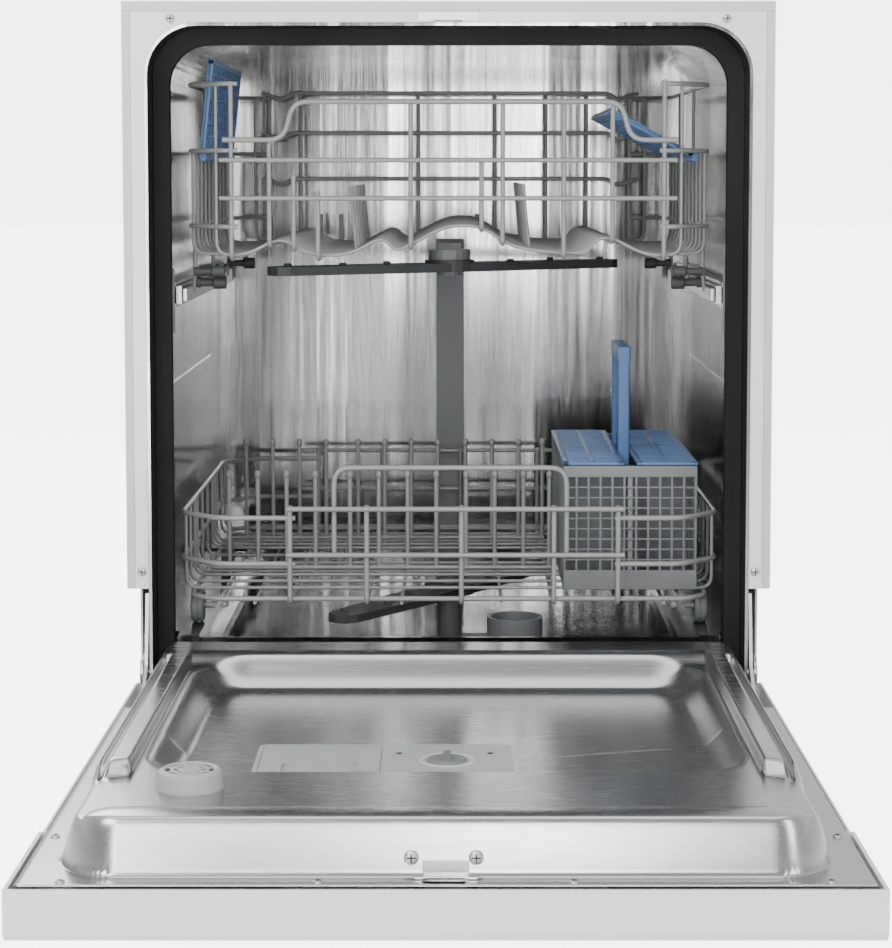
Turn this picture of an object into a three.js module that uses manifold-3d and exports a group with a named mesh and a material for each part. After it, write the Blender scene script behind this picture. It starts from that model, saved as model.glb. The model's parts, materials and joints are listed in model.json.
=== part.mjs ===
// Built-in dishwasher, door open, racks in.
// Millimetres, +Z up, front towards -Y. Heights are from the floor. While modelling, y = 0 is the
// front flange of the cabinet; the finished group is moved so that its origin is at the middle of
// its footprint.
import * as THREE from 'three';
import { mergeVertices } from 'three/addons/utils/BufferGeometryUtils.js';
import Module from 'manifold-3d';

const wasm = await Module();
wasm.setup();

// ---------------------------------------------------------------- driving dimensions
const WIDTH = 600; // over the side panels and the door panel
const HEIGHT = 864; // floor to the top strip
const DEPTH = 582; // front flange to the back of the cabinet
const GAP = 0.3; // between pieces that touch
const FIT = 0.5; // round a shaft, radially
const SHEET = 2; // steel panels

const TOP_STRIP = 9; // height of the grey strip above the frame
const FRAME_BAR = 10; // height of the frame's top bar
const SIDE_STRIP = 7.7; // front return of a side panel
const FRAME_LEG = 12; // width of the frame's legs
const FRAME_DEPTH = 22;
const LEG_FOOT = 320; // where the frame's legs end, above the door's sweep
const COLLAR_WALL = 2.8; // plate round the mouth
const MOUTH_DEPTH = 55; // front flange to the seat of the gasket
const TUB_STEP = 5; // how far the tub's wall stands inside the mouth
const TUB_WALL = 3;
const TUB_FLOOR = 210; // top of the tub's floor
const TUB_CORNER = 40;
const TUB_BACK_SPACE = 23; // behind the tub
const SILL = 262; // height of the tub's front lip
const SILL_BACK = 65; // inner face of that lip
const LEDGE_TOP = 268; // where the wheels run
const LEDGE_REACH = 34; // ledge's width from the tub's wall
const LEDGE_FRONT = 42;

const GASKET_WIDTH = 15.1;
const GASKET_FRONT = 40;
const SEAL_BOTTOM = 240;
const SEAL_HEIGHT = 16;
const SEAL_HALF = 256;

const HINGE_Y = 10; // the door turns about this line
const HINGE_Z = 240;
const HINGE_PIN = 5; // radius
const ARM_INSET = 19; // hinge arm's inner face inside the overall width, each side
const ARM_SHEET = 3;
const BRACKET_OUT = 5; // hinge bracket outside the arm's inner face

const DOOR_BELOW = 57.5; // hinge line to the door's outer face
const DOOR_THICK = 37;
const DOOR_TAIL = 45; // panel beyond the hinge line
const DOOR_TOP_CLEAR = 2; // closed door's top edge under the top strip
const CONSOLE_LENGTH = 146;
const CONSOLE_PROUD = 3; // console beyond the panel, each side
const PANEL_WALL = 2;
const CONSOLE_WALL = 3;
const LINER_SKIN = 2.5;
const LINER_RISE = 28; // sealing plane above the hinge line, door open
const LINER_SIDE_CLEAR = 5; // to the mouth, each side
const LINER_TOP_CLEAR = 3; // to the mouth's top, door closed
const RIB_WIDTH = 34; // the pair of side ribs together
const PLATFORM_Z = 256;
const RIDGE_Z = 262;
const PLATFORM_END = -429; // y where the platform meets the basin
const BASIN_Z = 235;
const BASIN_INSET = 37; // basin's rim inside the liner's side
const BASIN_BACK = -32;
const BASIN_SLOPE = 14;

const DISPENSER = { x0: -150, x1: 51, y0: -430, y1: -320, top: 250, deep: 38 };
const DETERGENT_LID = { x0: -146, x1: -52, y0: -422, y1: -330, thick: 5 };
const RINSE_CAP = { x: 0, y: -372, r: 16, high: 5 };
const VENT = { x: -189, y: -477, r: 28, high: 14 };

const WIRE = 2.5; // radius of the racks' frame wires
const THIN_WIRE = 1.8; // radius of the racks' other wires
const BEND = 14; // bend radius of a frame wire

const TRACK_DEEP = 11.9; // upper rack's fixed track, inwards from the tub's wall
const MIDDLE_RAIL_STEP = 5.7; // inner face of a middle rail inside the track's lips
const RACK_RAIL_STEP = 5.8; // inner face of a rack rail inside the middle rail's
const UPPER_BACK_CLEAR = 34; // upper rack to the tub's back wall
const LOWER_BACK_CLEAR = 39; // lower rack to the tub's back wall
const LOWER_SIDE_CLEAR = 14.9; // lower rack to the tub's side wall
const WHEEL_SET_IN = 17; // wheel's inner face inside the lower rack's side
const REAR_WHEEL_IN = 100; // rear wheel's centre in front of the lower rack's back
const SHELF_SET_IN = 11; // cup shelf's hinge inside the upper rack's side
const BASKET_SET_IN = 17; // cutlery basket inside the lower rack's side
const BASKET_WIDE = 130;
const UPPER_ARM_FORWARD = 7; // upper spray arm's axis in front of the tub's middle
const LOWER_ARM_FORWARD = 17;
const UPPER_ARM_CLEAR = 33; // the turning arm's tip behind the mouth
const LOWER_ARM_CLEAR = 30;
const NOZZLES_IN = [140, 80, 24]; // from a spray arm's tip

const TRAY_TOP = 122;
const TRAY_BOTTOM = 40;
const TRAY_FRONT = 46;
const TRAY_WALL = 3;
const TRAY_SIDE_CLEAR = 9; // tray inside the overall width, each side
const FOOT_RADIUS = 19;
const FOOT_INSET = 40; // foot's centre inside the overall width
const SUMP = { x: 33, y: 231, r: 100, deep: 64 };

// ---------------------------------------------------------------- sizes that follow
const HALF = WIDTH / 2;
const FRAME_OUT = HALF - SIDE_STRIP - GAP;
const COLLAR_OUT = FRAME_OUT - FRAME_LEG - GAP;
const MOUTH_HALF = COLLAR_OUT - COLLAR_WALL;
const STRIP_Z = HEIGHT - TOP_STRIP;
const FRAME_TOP = STRIP_Z - GAP;
const COLLAR_TOP = FRAME_TOP - FRAME_BAR - GAP;
const MOUTH_TOP = COLLAR_TOP - COLLAR_WALL;
const TUB_HALF = MOUTH_HALF - TUB_STEP;
const TUB_CEILING = MOUTH_TOP - TUB_STEP;
const TUB_BACK = DEPTH - TUB_BACK_SPACE;
const DOOR_BOTTOM = HINGE_Z - DOOR_BELOW; // outer face, door open
const DOOR_RIM = DOOR_BOTTOM + DOOR_THICK;
const DOOR_END = HINGE_Y - (STRIP_Z + TOP_STRIP - DOOR_TOP_CLEAR - HINGE_Z); // y of the door's top edge
const DOOR_BACK = HINGE_Y + DOOR_TAIL;
const CONSOLE_BACK = DOOR_END + CONSOLE_LENGTH;
const LINER_HALF = MOUTH_HALF - LINER_SIDE_CLEAR;
const LINER_TOP = HINGE_Z + LINER_RISE;
const LINER_FRONT = HINGE_Y - (MOUTH_TOP - LINER_TOP_CLEAR - HINGE_Z);
const LINER_BACK = HINGE_Y + 2;
const FLANGE_Z = DOOR_RIM + GAP;
const ARM_IN = HALF - ARM_INSET;
const TRACK_IN = TUB_HALF - TRACK_DEEP;
const TUB_MIDDLE = (MOUTH_DEPTH + TUB_BACK) / 2;
const UPPER_ARM_Y = TUB_MIDDLE - UPPER_ARM_FORWARD;
const LOWER_ARM_Y = TUB_MIDDLE - LOWER_ARM_FORWARD;
const RACK_IN = TRACK_IN - MIDDLE_RAIL_STEP - RACK_RAIL_STEP;

const UPPER = { half: RACK_IN + 0.5, front: 62, back: TUB_BACK - UPPER_BACK_CLEAR, floor: 629, rim: 791 };
const UPPER_GRIP = 774; // the raised bar in the middle of the rim
const UPPER_DIP = 737; // the rim beside that bar
const UPPER_BARS = [719, 683]; // front bars under the rim
const TRACK = { z: 591, high: 24, inner: TRACK_IN };
const MIDDLE_RAIL = { inner: TRACK_IN - MIDDLE_RAIL_STEP, thick: 5.2, high: 17 };
const RACK_RAIL = { inner: RACK_IN, thick: 5.3, high: 13 };
const SHELF = {
  hinge: UPPER.half - SHELF_SET_IN, z: 722, width: 95, length: 300, y0: 110, thick: 4, tilt: 28, up: 84,
};
const UPPER_ARM = {
  y: UPPER_ARM_Y, z: 604, high: 12, r: UPPER_ARM_Y - MOUTH_DEPTH - UPPER_ARM_CLEAR, turn: 32, hub: 20,
};

const LOWER = {
  half: TUB_HALF - LOWER_SIDE_CLEAR, front: 45, back: TUB_BACK - LOWER_BACK_CLEAR, floor: 301, bar: 389,
  side: 379, low: 335,
};
const HANDLE = { half: 109, top: 428, foot: 345 };
const WHEEL = {
  r: 16, width: 12, inner: LOWER.half - WHEEL_SET_IN, front: 112, back: LOWER.back - REAR_WHEEL_IN, axle: 3,
};
const LOWER_ARM = {
  y: LOWER_ARM_Y, z: 265, high: 11, r: LOWER_ARM_Y - MOUTH_DEPTH - LOWER_ARM_CLEAR, turn: 237, hub: 20,
};
const BASKET_SIDE = LOWER.half - BASKET_SET_IN;
const BASKET = { x0: BASKET_SIDE - BASKET_WIDE, x1: BASKET_SIDE, y0: 78, y1: 370, z0: 305, z1: 426, wall: 3 };
const BASKET_GRIP = 535; // top of the basket's handle
const CUP = { x: 66, y: 172, r: 28, top: 262 }; // filter cup

const LIP_FRONT = SILL_BACK - TUB_WALL;
const COLLAR_BOTTOM = SEAL_BOTTOM - 2;
const MOUTH_CORNER = TUB_CORNER + TUB_STEP;
const CEILING_SLOT = { half: 150, y0: 150, y1: 178 };
const WALL_GROOVES = [500, 690]; // heights of the pressed lines in the side walls
const LOW_FRONT = HINGE_Y + 82; // side panels and hinge brackets stay behind the door's sweep
const PANEL_BOTTOM = 60;
const REAR_TOP = 300;
const KICK_BOTTOM = 22;
const FOOT_STEM = 6;
const FOOT_X = HALF - FOOT_INSET;
const FEET = [
  [-FOOT_X, TRAY_FRONT + FOOT_RADIUS + 2], [FOOT_X, TRAY_FRONT + FOOT_RADIUS + 2],
  [-FOOT_X, DEPTH - FOOT_INSET], [FOOT_X, DEPTH - FOOT_INSET],
];
const FOOT_NAMES = ['foot_front_left', 'foot_front_right', 'foot_rear_left', 'foot_rear_right'];
const INLET = { x: -180, z: 92, spigot: 12 };
const STRIKER_HALF = 12.5;
const STRIKER_THICK = 3.5;
const POST_RADIUS = 8;
const PUMP_Z = 155;

const FLANGE_SHEET = 1.5;
const FLANGE_HALF = HALF - 4;
const ARM_NOTCH = HINGE_Y - 70; // behind this line the liner's flange leaves room for the arms
const LATCH_Y = HINGE_Y - (FRAME_TOP - FRAME_BAR + 1 + STRIKER_THICK / 2 - HINGE_Z);
const LATCH_HALF = 22;
const BUTTONS = [140, 170, 200];
const BUTTON = { r: 8, y: DOOR_END + 75, proud: 1 };
const POCKET = { half: 110, y0: DOOR_END + 50, y1: DOOR_END + 98, deep: 22 };
const RIDGE_END = LINER_FRONT + 40;
const LINER_CORNER = 45;
const LATCH_FLOOR = 206;

const RACK_CHAMFER = 38; // how far the racks' front corners are cut back
const UPPER_BACK_RIM = 800;
// the upper rack's wavy floor: x from the middle, height over the floor
const UPPER_WAVE = [
  [-193, 0], [-160, 17], [-133, 0], [-96, 0], [-63, 17], [-50, 3], [-2, 28], [30, 28],
  [60, 8], [100, 2], [130, 2], [142, 16], [156, 16], [187, 0],
];
// x of the wires that run from front to back
const UPPER_LENGTHS = [-206, -124, 31, 150, 205];
const LOWER_LENGTHS = [-151, -78, 12, 100, 161];
const UPPER_CROSS = 3; // how many wires run across the upper rack's floor
const LOWER_CROSS = [148, 310, LOWER.back - 52]; // y of the wires across the lower rack's floor
const TINES = { pitch: 72, first: -200, count: 4, top: 410, rows: [190, LOWER.back - 130] };
const HANGER = { x0: WHEEL.inner - 11, x1: WHEEL.inner - 5 };
const DIVIDERS = 3;
const WELD = 1.3; // how far the centre lines of two welded wires stand apart

// ---------------------------------------------------------------- colours
function finish(color, roughness, metalness) {
  return new THREE.MeshStandardMaterial({ color, roughness, metalness });
}
const WHITE = finish(0xe9ebea, 0.45, 0);
const GREY_SHEET = finish(0xc6c9c9, 0.5, 0.3);
const STEEL = finish(0xb9bbb8, 0.3, 0.9);
const RUBBER = finish(0x232425, 0.8, 0);
const RACK_GREY = finish(0xa0a2a0, 0.5, 0);
const DARK = finish(0x4c4f50, 0.55, 0);
const BASKET_GREY = finish(0x82878a, 0.55, 0);
const BLUE = finish(0x6086b9, 0.45, 0);

// ---------------------------------------------------------------- solids
function solid(geometry) {
  const bare = geometry.index ? geometry.toNonIndexed() : geometry;
  bare.deleteAttribute('normal');
  bare.deleteAttribute('uv');
  const merged = mergeVertices(bare, 1e-3);
  return new wasm.Manifold(new wasm.Mesh({
    numProp: 3,
    vertProperties: new Float32Array(merged.attributes.position.array),
    triVerts: new Uint32Array(merged.index.array),
  }));
}

// a box from its two corners
function box(x0, x1, y0, y1, z0, z1) {
  const shape = new THREE.BoxGeometry(x1 - x0, y1 - y0, z1 - z0);
  return solid(shape.translate((x0 + x1) / 2, (y0 + y1) / 2, (z0 + z1) / 2));
}

// a rod from a to b along an axis, at u, v on the other two axes in x, y, z order
function rod(axis, r, a, b, u, v, sides = 20, rEnd = r) {
  const shape = new THREE.CylinderGeometry(rEnd, r, b - a, sides);
  const middle = (a + b) / 2;
  if (axis === 'x') shape.rotateZ(-Math.PI / 2).translate(middle, u, v);
  if (axis === 'y') shape.translate(u, middle, v);
  if (axis === 'z') shape.rotateX(Math.PI / 2).translate(u, v, middle);
  return solid(shape);
}

const AXES = {
  xy: [[1, 0, 0], [0, 1, 0], [0, 0, 1]],
  xz: [[1, 0, 0], [0, 0, 1], [0, -1, 0]],
  yz: [[0, 1, 0], [0, 0, 1], [1, 0, 0]],
};

// a flat outline in the named plane, pushed from a to b along the third axis
function plate(plane, shape, a, b, curveSegments = 5) {
  const geometry = new THREE.ExtrudeGeometry(shape, { depth: b - a, bevelEnabled: false, curveSegments });
  const [u, v, w] = AXES[plane].map((axis) => new THREE.Vector3(...axis));
  geometry.applyMatrix4(new THREE.Matrix4().makeBasis(u, v, w));
  const start = plane === 'xz' ? b : a;
  const along = { xy: [0, 0, start], xz: [0, start, 0], yz: [start, 0, 0] }[plane];
  return solid(geometry.translate(...along));
}

function outline(points) {
  return new THREE.Shape(points.map(([u, v]) => new THREE.Vector2(u, v)));
}

// rectangle with round corners; low and high are the radii at its low and high v ends
function rounded(u0, u1, v0, v1, low, high = low) {
  const shape = new THREE.Shape();
  const quarter = Math.PI / 2;
  shape.moveTo(u0 + low, v0);
  shape.lineTo(u1 - low, v0);
  if (low) shape.absarc(u1 - low, v0 + low, low, -quarter, 0);
  shape.lineTo(u1, v1 - high);
  if (high) shape.absarc(u1 - high, v1 - high, high, 0, quarter);
  shape.lineTo(u0 + high, v1);
  if (high) shape.absarc(u0 + high, v1 - high, high, quarter, 2 * quarter);
  shape.lineTo(u0, v0 + low);
  if (low) shape.absarc(u0 + low, v0 + low, low, 2 * quarter, 3 * quarter);
  return shape;
}

// a turned piece: [radius, height] points that start and end on the axis
function turned(profile, x, y, sides = 24) {
  const points = profile.map(([r, z]) => new THREE.Vector2(r, z));
  return solid(new THREE.LatheGeometry(points, sides).rotateX(Math.PI / 2).translate(x, y, 0));
}

// a round-cornered block whose sides slope inwards by inset as it goes down
function basin(u0, u1, v0, v1, r, z0, z1, inset) {
  const top = rounded(u0, u1, v0, v1, r).getPoints(4);
  const floor = rounded(u0 + inset, u1 - inset, v0 + inset, v1 - inset, r).getPoints(4);
  if (top[0].distanceTo(top[top.length - 1]) < 0.01) [top, floor].forEach((ring) => ring.pop());
  const count = top.length;
  const position = [...floor.flatMap((p) => [p.x, p.y, z0]), ...top.flatMap((p) => [p.x, p.y, z1])];
  const index = [];
  for (let i = 0; i < count; i++) {
    const next = (i + 1) % count;
    index.push(i, next, count + next, i, count + next, count + i);
  }
  for (const [a, b, c] of THREE.ShapeUtils.triangulateShape(top, [])) {
    index.push(count + a, count + b, count + c, c, b, a);
  }
  const geometry = new THREE.BufferGeometry();
  geometry.setAttribute('position', new THREE.Float32BufferAttribute(position, 3));
  geometry.setIndex(index);
  return solid(geometry);
}

function join(pieces) {
  return pieces.flat().reduce((all, piece) => all.add(piece));
}

function cut(piece, ...tools) {
  return tools.flat().reduce((left, tool) => left.subtract(tool), piece);
}

function mirrorX(piece) {
  return piece.scale([-1, 1, 1]);
}

// ---------------------------------------------------------------- wires
// A wire's centre line through fixed points, with one ring of its section on each point.
class WirePath extends THREE.Curve {
  constructor(points) {
    super();
    this.points = points;
  }

  getPoint(t, target = new THREE.Vector3()) {
    const last = this.points.length - 1;
    const at = Math.min(Math.floor(t * last), last - 1);
    return target.lerpVectors(this.points[at], this.points[at + 1], t * last - at);
  }

  getSpacedPoints() {
    return this.points;
  }

  getTangentAt(t, target = new THREE.Vector3()) {
    const last = this.points.length - 1;
    const at = Math.round(t * last);
    const before = this.points[Math.max(at - 1, 0)];
    const here = this.points[at];
    const after = this.points[Math.min(at + 1, last)];
    const into = here.clone().sub(before).normalize();
    return target.copy(after).sub(here).normalize().add(into).normalize();
  }
}

// a polyline whose corners are bent to a radius, two points to each bend
function bent(corners, radius) {
  const at = corners.map((c) => new THREE.Vector3(...c));
  const points = [at[0]];
  for (let i = 1; i < at.length - 1; i++) {
    const into = at[i].clone().sub(at[i - 1]);
    const out = at[i + 1].clone().sub(at[i]);
    const reach = Math.min(radius, into.length() * 0.45, out.length() * 0.45);
    const start = at[i].clone().addScaledVector(into.normalize(), -reach);
    const end = at[i].clone().addScaledVector(out.normalize(), reach);
    const straight = into.dot(out) > 0.8;
    points.push(...(straight ? [at[i]] : [start, at[i].clone().lerp(start.clone().lerp(end, 0.5), 0.45), end]));
  }
  points.push(at[at.length - 1]);
  return points;
}

function wire(corners, r, radius = 0, sides = 4) {
  const points = bent(corners, radius);
  const section = [];
  for (let i = 0; i < sides; i++) {
    const angle = (i * 2 * Math.PI) / sides;
    section.push(new THREE.Vector2(r * Math.cos(angle), r * Math.sin(angle)));
  }
  return solid(new THREE.ExtrudeGeometry(new THREE.Shape(section), {
    steps: points.length - 1,
    extrudePath: new WirePath(points),
    bevelEnabled: false,
  }));
}

// ---------------------------------------------------------------- scene
const model = new THREE.Group();

function add(name, piece, material) {
  const { vertProperties, triVerts, numProp } = piece.getMesh();
  const position = new Float32Array((vertProperties.length / numProp) * 3);
  for (let i = 0; i < position.length / 3; i++) {
    for (let k = 0; k < 3; k++) position[3 * i + k] = vertProperties[numProp * i + k];
  }
  const geometry = new THREE.BufferGeometry();
  geometry.setAttribute('position', new THREE.BufferAttribute(position, 3));
  geometry.setIndex(new THREE.BufferAttribute(new Uint32Array(triVerts), 1));
  geometry.computeVertexNormals();
  const mesh = new THREE.Mesh(geometry, material);
  mesh.name = name;
  model.add(mesh);
}

// the same piece on both sides: made for the right, mirrored for the left
function addPair(name, piece, material) {
  add(`${name}_right`, piece, material);
  add(`${name}_left`, mirrorX(piece), material);
}

// ---------------------------------------------------------------- cabinet

function makeTub() {
  const wide = TUB_HALF + TUB_WALL;
  const skin = rounded(-wide, wide, TUB_FLOOR - TUB_WALL, TUB_CEILING + TUB_WALL, TUB_CORNER + TUB_WALL);
  const hollow = rounded(-TUB_HALF, TUB_HALF, TUB_FLOOR, TUB_CEILING, TUB_CORNER);
  const mouth = rounded(-TUB_HALF, TUB_HALF, SILL, TUB_CEILING, 0, TUB_CORNER);
  const collar = rounded(-COLLAR_OUT, COLLAR_OUT, COLLAR_BOTTOM, COLLAR_TOP, 0, MOUTH_CORNER + COLLAR_WALL);
  const recess = rounded(-MOUTH_HALF, MOUTH_HALF, COLLAR_BOTTOM - 1, MOUTH_TOP, 0, MOUTH_CORNER);
  const shell = join([
    plate('xz', skin, MOUTH_DEPTH, TUB_BACK + TUB_WALL),
    plate('xz', collar, 0, MOUTH_DEPTH + TUB_WALL),
  ]);
  const sealSpace = SEAL_HALF + GAP;
  const body = cut(
    shell,
    plate('xz', hollow, SILL_BACK, TUB_BACK),
    plate('xz', mouth, MOUTH_DEPTH - 1, SILL_BACK + 1),
    plate('xz', recess, -1, MOUTH_DEPTH),
    box(-HALF, HALF, MOUTH_DEPTH - 1, LIP_FRONT, 0, COLLAR_BOTTOM),
    box(-sealSpace, sealSpace, MOUTH_DEPTH - 1, LIP_FRONT, COLLAR_BOTTOM - 1, SILL + 1),
    rod('z', SUMP.r - 2, TUB_FLOOR - TUB_WALL - 1, TUB_FLOOR + 1, SUMP.x, SUMP.y, 24),
    box(-CEILING_SLOT.half, CEILING_SLOT.half, CEILING_SLOT.y0, CEILING_SLOT.y1, TUB_CEILING - 1,
      TUB_CEILING + 1.5),
  );
  const grooves = WALL_GROOVES.map((z) => box(TUB_HALF - 1, TUB_HALF + 1.5, 120, TUB_BACK - 60, z, z + 12));
  const ledgeIn = TUB_HALF - LEDGE_REACH;
  const ledge = join([
    box(ledgeIn, TUB_HALF + 1, SILL_BACK - 1, TUB_BACK - 12, LEDGE_TOP - 14, LEDGE_TOP),
    box(ledgeIn, MOUTH_HALF - GASKET_WIDTH - 4, LEDGE_FRONT, SILL_BACK, SILL - 2, LEDGE_TOP),
  ]);
  return join([cut(body, ...grooves, ...grooves.map(mirrorX)), ledge, mirrorX(ledge)]);
}

function makeFrontFrame() {
  const inner = FRAME_OUT - FRAME_LEG;
  const outside = rounded(-FRAME_OUT, FRAME_OUT, LEG_FOOT, FRAME_TOP, 0);
  const radius = MOUTH_CORNER + COLLAR_WALL + GAP;
  const inside = rounded(-inner, inner, LEG_FOOT - 1, FRAME_TOP - FRAME_BAR, 0, radius);
  return cut(plate('xz', outside, 0, FRAME_DEPTH), plate('xz', inside, -1, FRAME_DEPTH + 1));
}

function makeSidePanel() {
  const edge = [
    [0, LEG_FOOT], [LOW_FRONT, LEG_FOOT], [LOW_FRONT, PANEL_BOTTOM],
    [DEPTH, PANEL_BOTTOM], [DEPTH, FRAME_TOP], [0, FRAME_TOP],
  ];
  return join([
    plate('yz', outline(edge), HALF - SHEET, HALF),
    box(FRAME_OUT + GAP, HALF - 1, 0, SHEET, LEG_FOOT, FRAME_TOP),
    box(HALF - 22, HALF - 1, DEPTH - SHEET, DEPTH, REAR_TOP + GAP, FRAME_TOP - SHEET - GAP),
  ]);
}

function makeRearPanel() {
  const wide = HALF - SHEET - GAP;
  return cut(
    box(-wide, wide, DEPTH - SHEET, DEPTH, PANEL_BOTTOM, REAR_TOP),
    rod('y', INLET.spigot + 3, DEPTH - 10, DEPTH + 1, INLET.x, INLET.z),
    rod('y', INLET.spigot + 8, DEPTH - 10, DEPTH + 1, -INLET.x, INLET.z),
  );
}

function makeGasket() {
  const out = MOUTH_HALF - GAP;
  const inner = out - GASKET_WIDTH;
  const top = MOUTH_TOP - GAP;
  const ring = rounded(-out, out, SEAL_BOTTOM, top, 0, MOUTH_CORNER - GAP);
  const hole = rounded(-inner, inner, SEAL_BOTTOM - 1, top - GASKET_WIDTH, 0, MOUTH_CORNER - GASKET_WIDTH + 8);
  return cut(plate('xz', ring, GASKET_FRONT, MOUTH_DEPTH - GAP), plate('xz', hole, 0, MOUTH_DEPTH));
}

function makeBottomSeal() {
  const back = LIP_FRONT - GAP;
  const top = SEAL_BOTTOM + SEAL_HEIGHT;
  const section = [
    [back, SEAL_BOTTOM], [back, top], [back - 8, top], [GASKET_FRONT - 0.5, top - 5],
    [GASKET_FRONT - 0.5, top - 8], [back - 8, SEAL_BOTTOM],
  ];
  return plate('yz', outline(section), -SEAL_HALF, SEAL_HALF);
}

function makeStriker() {
  const z = FRAME_TOP - FRAME_BAR + 1;
  return join([
    box(-28, 28, -SHEET - GAP, -GAP, z, z + 8),
    cut(box(-STRIKER_HALF, STRIKER_HALF, -18, -GAP, z, z + STRIKER_THICK), box(-7, 7, -13, -5, z - 1, z + 6)),
  ]);
}

function makeTray() {
  const half = HALF - TRAY_SIDE_CLEAR;
  const back = DEPTH - SHEET - GAP;
  const inner = rounded(-half + TRAY_WALL, half - TRAY_WALL, TRAY_FRONT + TRAY_WALL, back - TRAY_WALL, 12);
  const shell = cut(
    plate('xy', rounded(-half, half, TRAY_FRONT, back, 15), TRAY_BOTTOM, TRAY_TOP, 3),
    plate('xy', inner, TRAY_BOTTOM + TRAY_WALL, TRAY_TOP + 1, 3),
  );
  const holes = FEET.map(([x, y]) => rod('z', FOOT_STEM + FIT, TRAY_BOTTOM - 1, TRAY_BOTTOM + 5, x, y, 12));
  return cut(shell, ...holes);
}

function makeFoot(x, y) {
  return turned([
    [0, 0], [FOOT_RADIUS, 0], [FOOT_RADIUS, 7], [11, 13], [11, TRAY_BOTTOM - GAP],
    [FOOT_STEM, TRAY_BOTTOM - GAP], [FOOT_STEM, TRAY_BOTTOM + 28], [0, TRAY_BOTTOM + 28],
  ], x, y, 12);
}

function makeKickPlate() {
  const half = HALF - 3;
  const back = TRAY_FRONT - GAP;
  return cut(
    box(-half, half, back - 16, back, KICK_BOTTOM, TRAY_TOP - 4),
    box(-half + SHEET, half - SHEET, back - 16 + SHEET, back + 1, KICK_BOTTOM - 1, TRAY_TOP - 4 - SHEET),
  );
}

function makeSump() {
  const top = TUB_FLOOR - TUB_WALL - GAP;
  const low = top - SUMP.deep;
  return turned([
    [0, low], [SUMP.r - 15, low], [SUMP.r, low + 15], [SUMP.r, top - 6], [SUMP.r + 12, top - 6],
    [SUMP.r + 12, top], [SUMP.r - 3, top], [SUMP.r - 3, low + 17], [SUMP.r - 16, low + 3], [0, low + 3],
  ], SUMP.x, SUMP.y, 24);
}

function makeFilterPlate() {
  const top = TUB_FLOOR + GAP + 2.5;
  const disc = rod('z', SUMP.r + 8, TUB_FLOOR + GAP, top, SUMP.x, SUMP.y, 24);
  const post = rod('z', POST_RADIUS + 5, top - 1, LOWER_ARM.z - GAP, 0, LOWER_ARM.y, 20, POST_RADIUS + 3);
  const pin = rod('z', POST_RADIUS, LOWER_ARM.z - 1, LOWER_ARM.z + LOWER_ARM.high + 4, 0, LOWER_ARM.y, 20);
  return cut(join([disc, post, pin]), rod('z', CUP.r + FIT, 0, top + 1, CUP.x, CUP.y, 24));
}

function makeFilterCup() {
  const low = TUB_FLOOR - 40;
  const cup = turned([
    [0, low], [CUP.r - 2, low], [CUP.r, low + 6], [CUP.r, CUP.top], [CUP.r - 4, CUP.top],
    [CUP.r - 4, low + 6], [0, low + 3],
  ], CUP.x, CUP.y, 24);
  return cup.add(box(CUP.x - CUP.r + 2, CUP.x + CUP.r - 2, CUP.y - 2, CUP.y + 2, CUP.top - 22, CUP.top - 6));
}

function makeCirculationPump() {
  const start = SUMP.y + SUMP.r + GAP + 0.2;
  return join([
    rod('y', 16, start, start + 16, SUMP.x, PUMP_Z, 16),
    rod('y', 44, start + 14, start + 55, SUMP.x, PUMP_Z, 24),
    rod('y', 36, start + 54, start + 125, SUMP.x, PUMP_Z, 24),
  ]);
}

function makeDrainPump() {
  const end = SUMP.x - SUMP.r - GAP - 0.2;
  return join([
    rod('x', 10, end - 12, end, SUMP.y, PUMP_Z + 10, 12),
    rod('x', 26, end - 40, end - 10, SUMP.y, PUMP_Z + 10, 20),
    rod('x', 19, end - 85, end - 39, SUMP.y, PUMP_Z + 10, 20),
  ]);
}

function makeInletValve() {
  const z0 = TRAY_BOTTOM + TRAY_WALL + GAP;
  const back = DEPTH - SHEET - TRAY_WALL - 8;
  return join([
    box(INLET.x - 22, INLET.x + 22, back - 48, back, z0, INLET.z + 16),
    rod('z', 13, INLET.z + 15, INLET.z + 38, INLET.x, back - 24, 16),
  ]);
}

function makeJunctionBox() {
  const z0 = TRAY_BOTTOM + TRAY_WALL + GAP;
  const x1 = HALF - TRAY_SIDE_CLEAR - TRAY_WALL - 12;
  const y0 = TRAY_FRONT + TRAY_WALL + 45;
  return cut(box(x1 - 90, x1, y0, y0 + 60, z0, z0 + 44), rod('y', 11, y0 - 1, y0 + 20, x1 - 45, z0 + 22, 16));
}

function makeFeedPipe() {
  const back = TUB_BACK - GAP;
  const dock = UPPER.floor - 6;
  return join([
    box(-16, 16, back - 11, back, TUB_FLOOR + GAP, dock + 8),
    rod('y', 10, back - 24, back - 10, 0, dock - 4, 16),
  ]);
}

function makeHingeBracket() {
  const x0 = ARM_IN + BRACKET_OUT;
  const back = LOW_FRONT + 33;
  const foot = TRAY_TOP + GAP;
  const blade = outline([
    [HINGE_Y, HINGE_Z - 12], [LOW_FRONT, HINGE_Z - 12], [LOW_FRONT, foot],
    [back, foot], [back, HINGE_Z + 14], [HINGE_Y, HINGE_Z + 12],
  ]);
  return join([
    plate('yz', blade, x0, x0 + ARM_SHEET),
    rod('x', 12.5, x0, x0 + ARM_SHEET, HINGE_Y, HINGE_Z, 20),
    rod('x', HINGE_PIN, ARM_IN - 0.8, x0 + 1, HINGE_Y, HINGE_Z, 16),
  ]);
}

function makeDoorSpring() {
  const foot = TRAY_TOP + GAP;
  return rod('z', 6, foot, foot + 150, ARM_IN + 6.5, LOW_FRONT + 55, 12);
}

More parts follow.
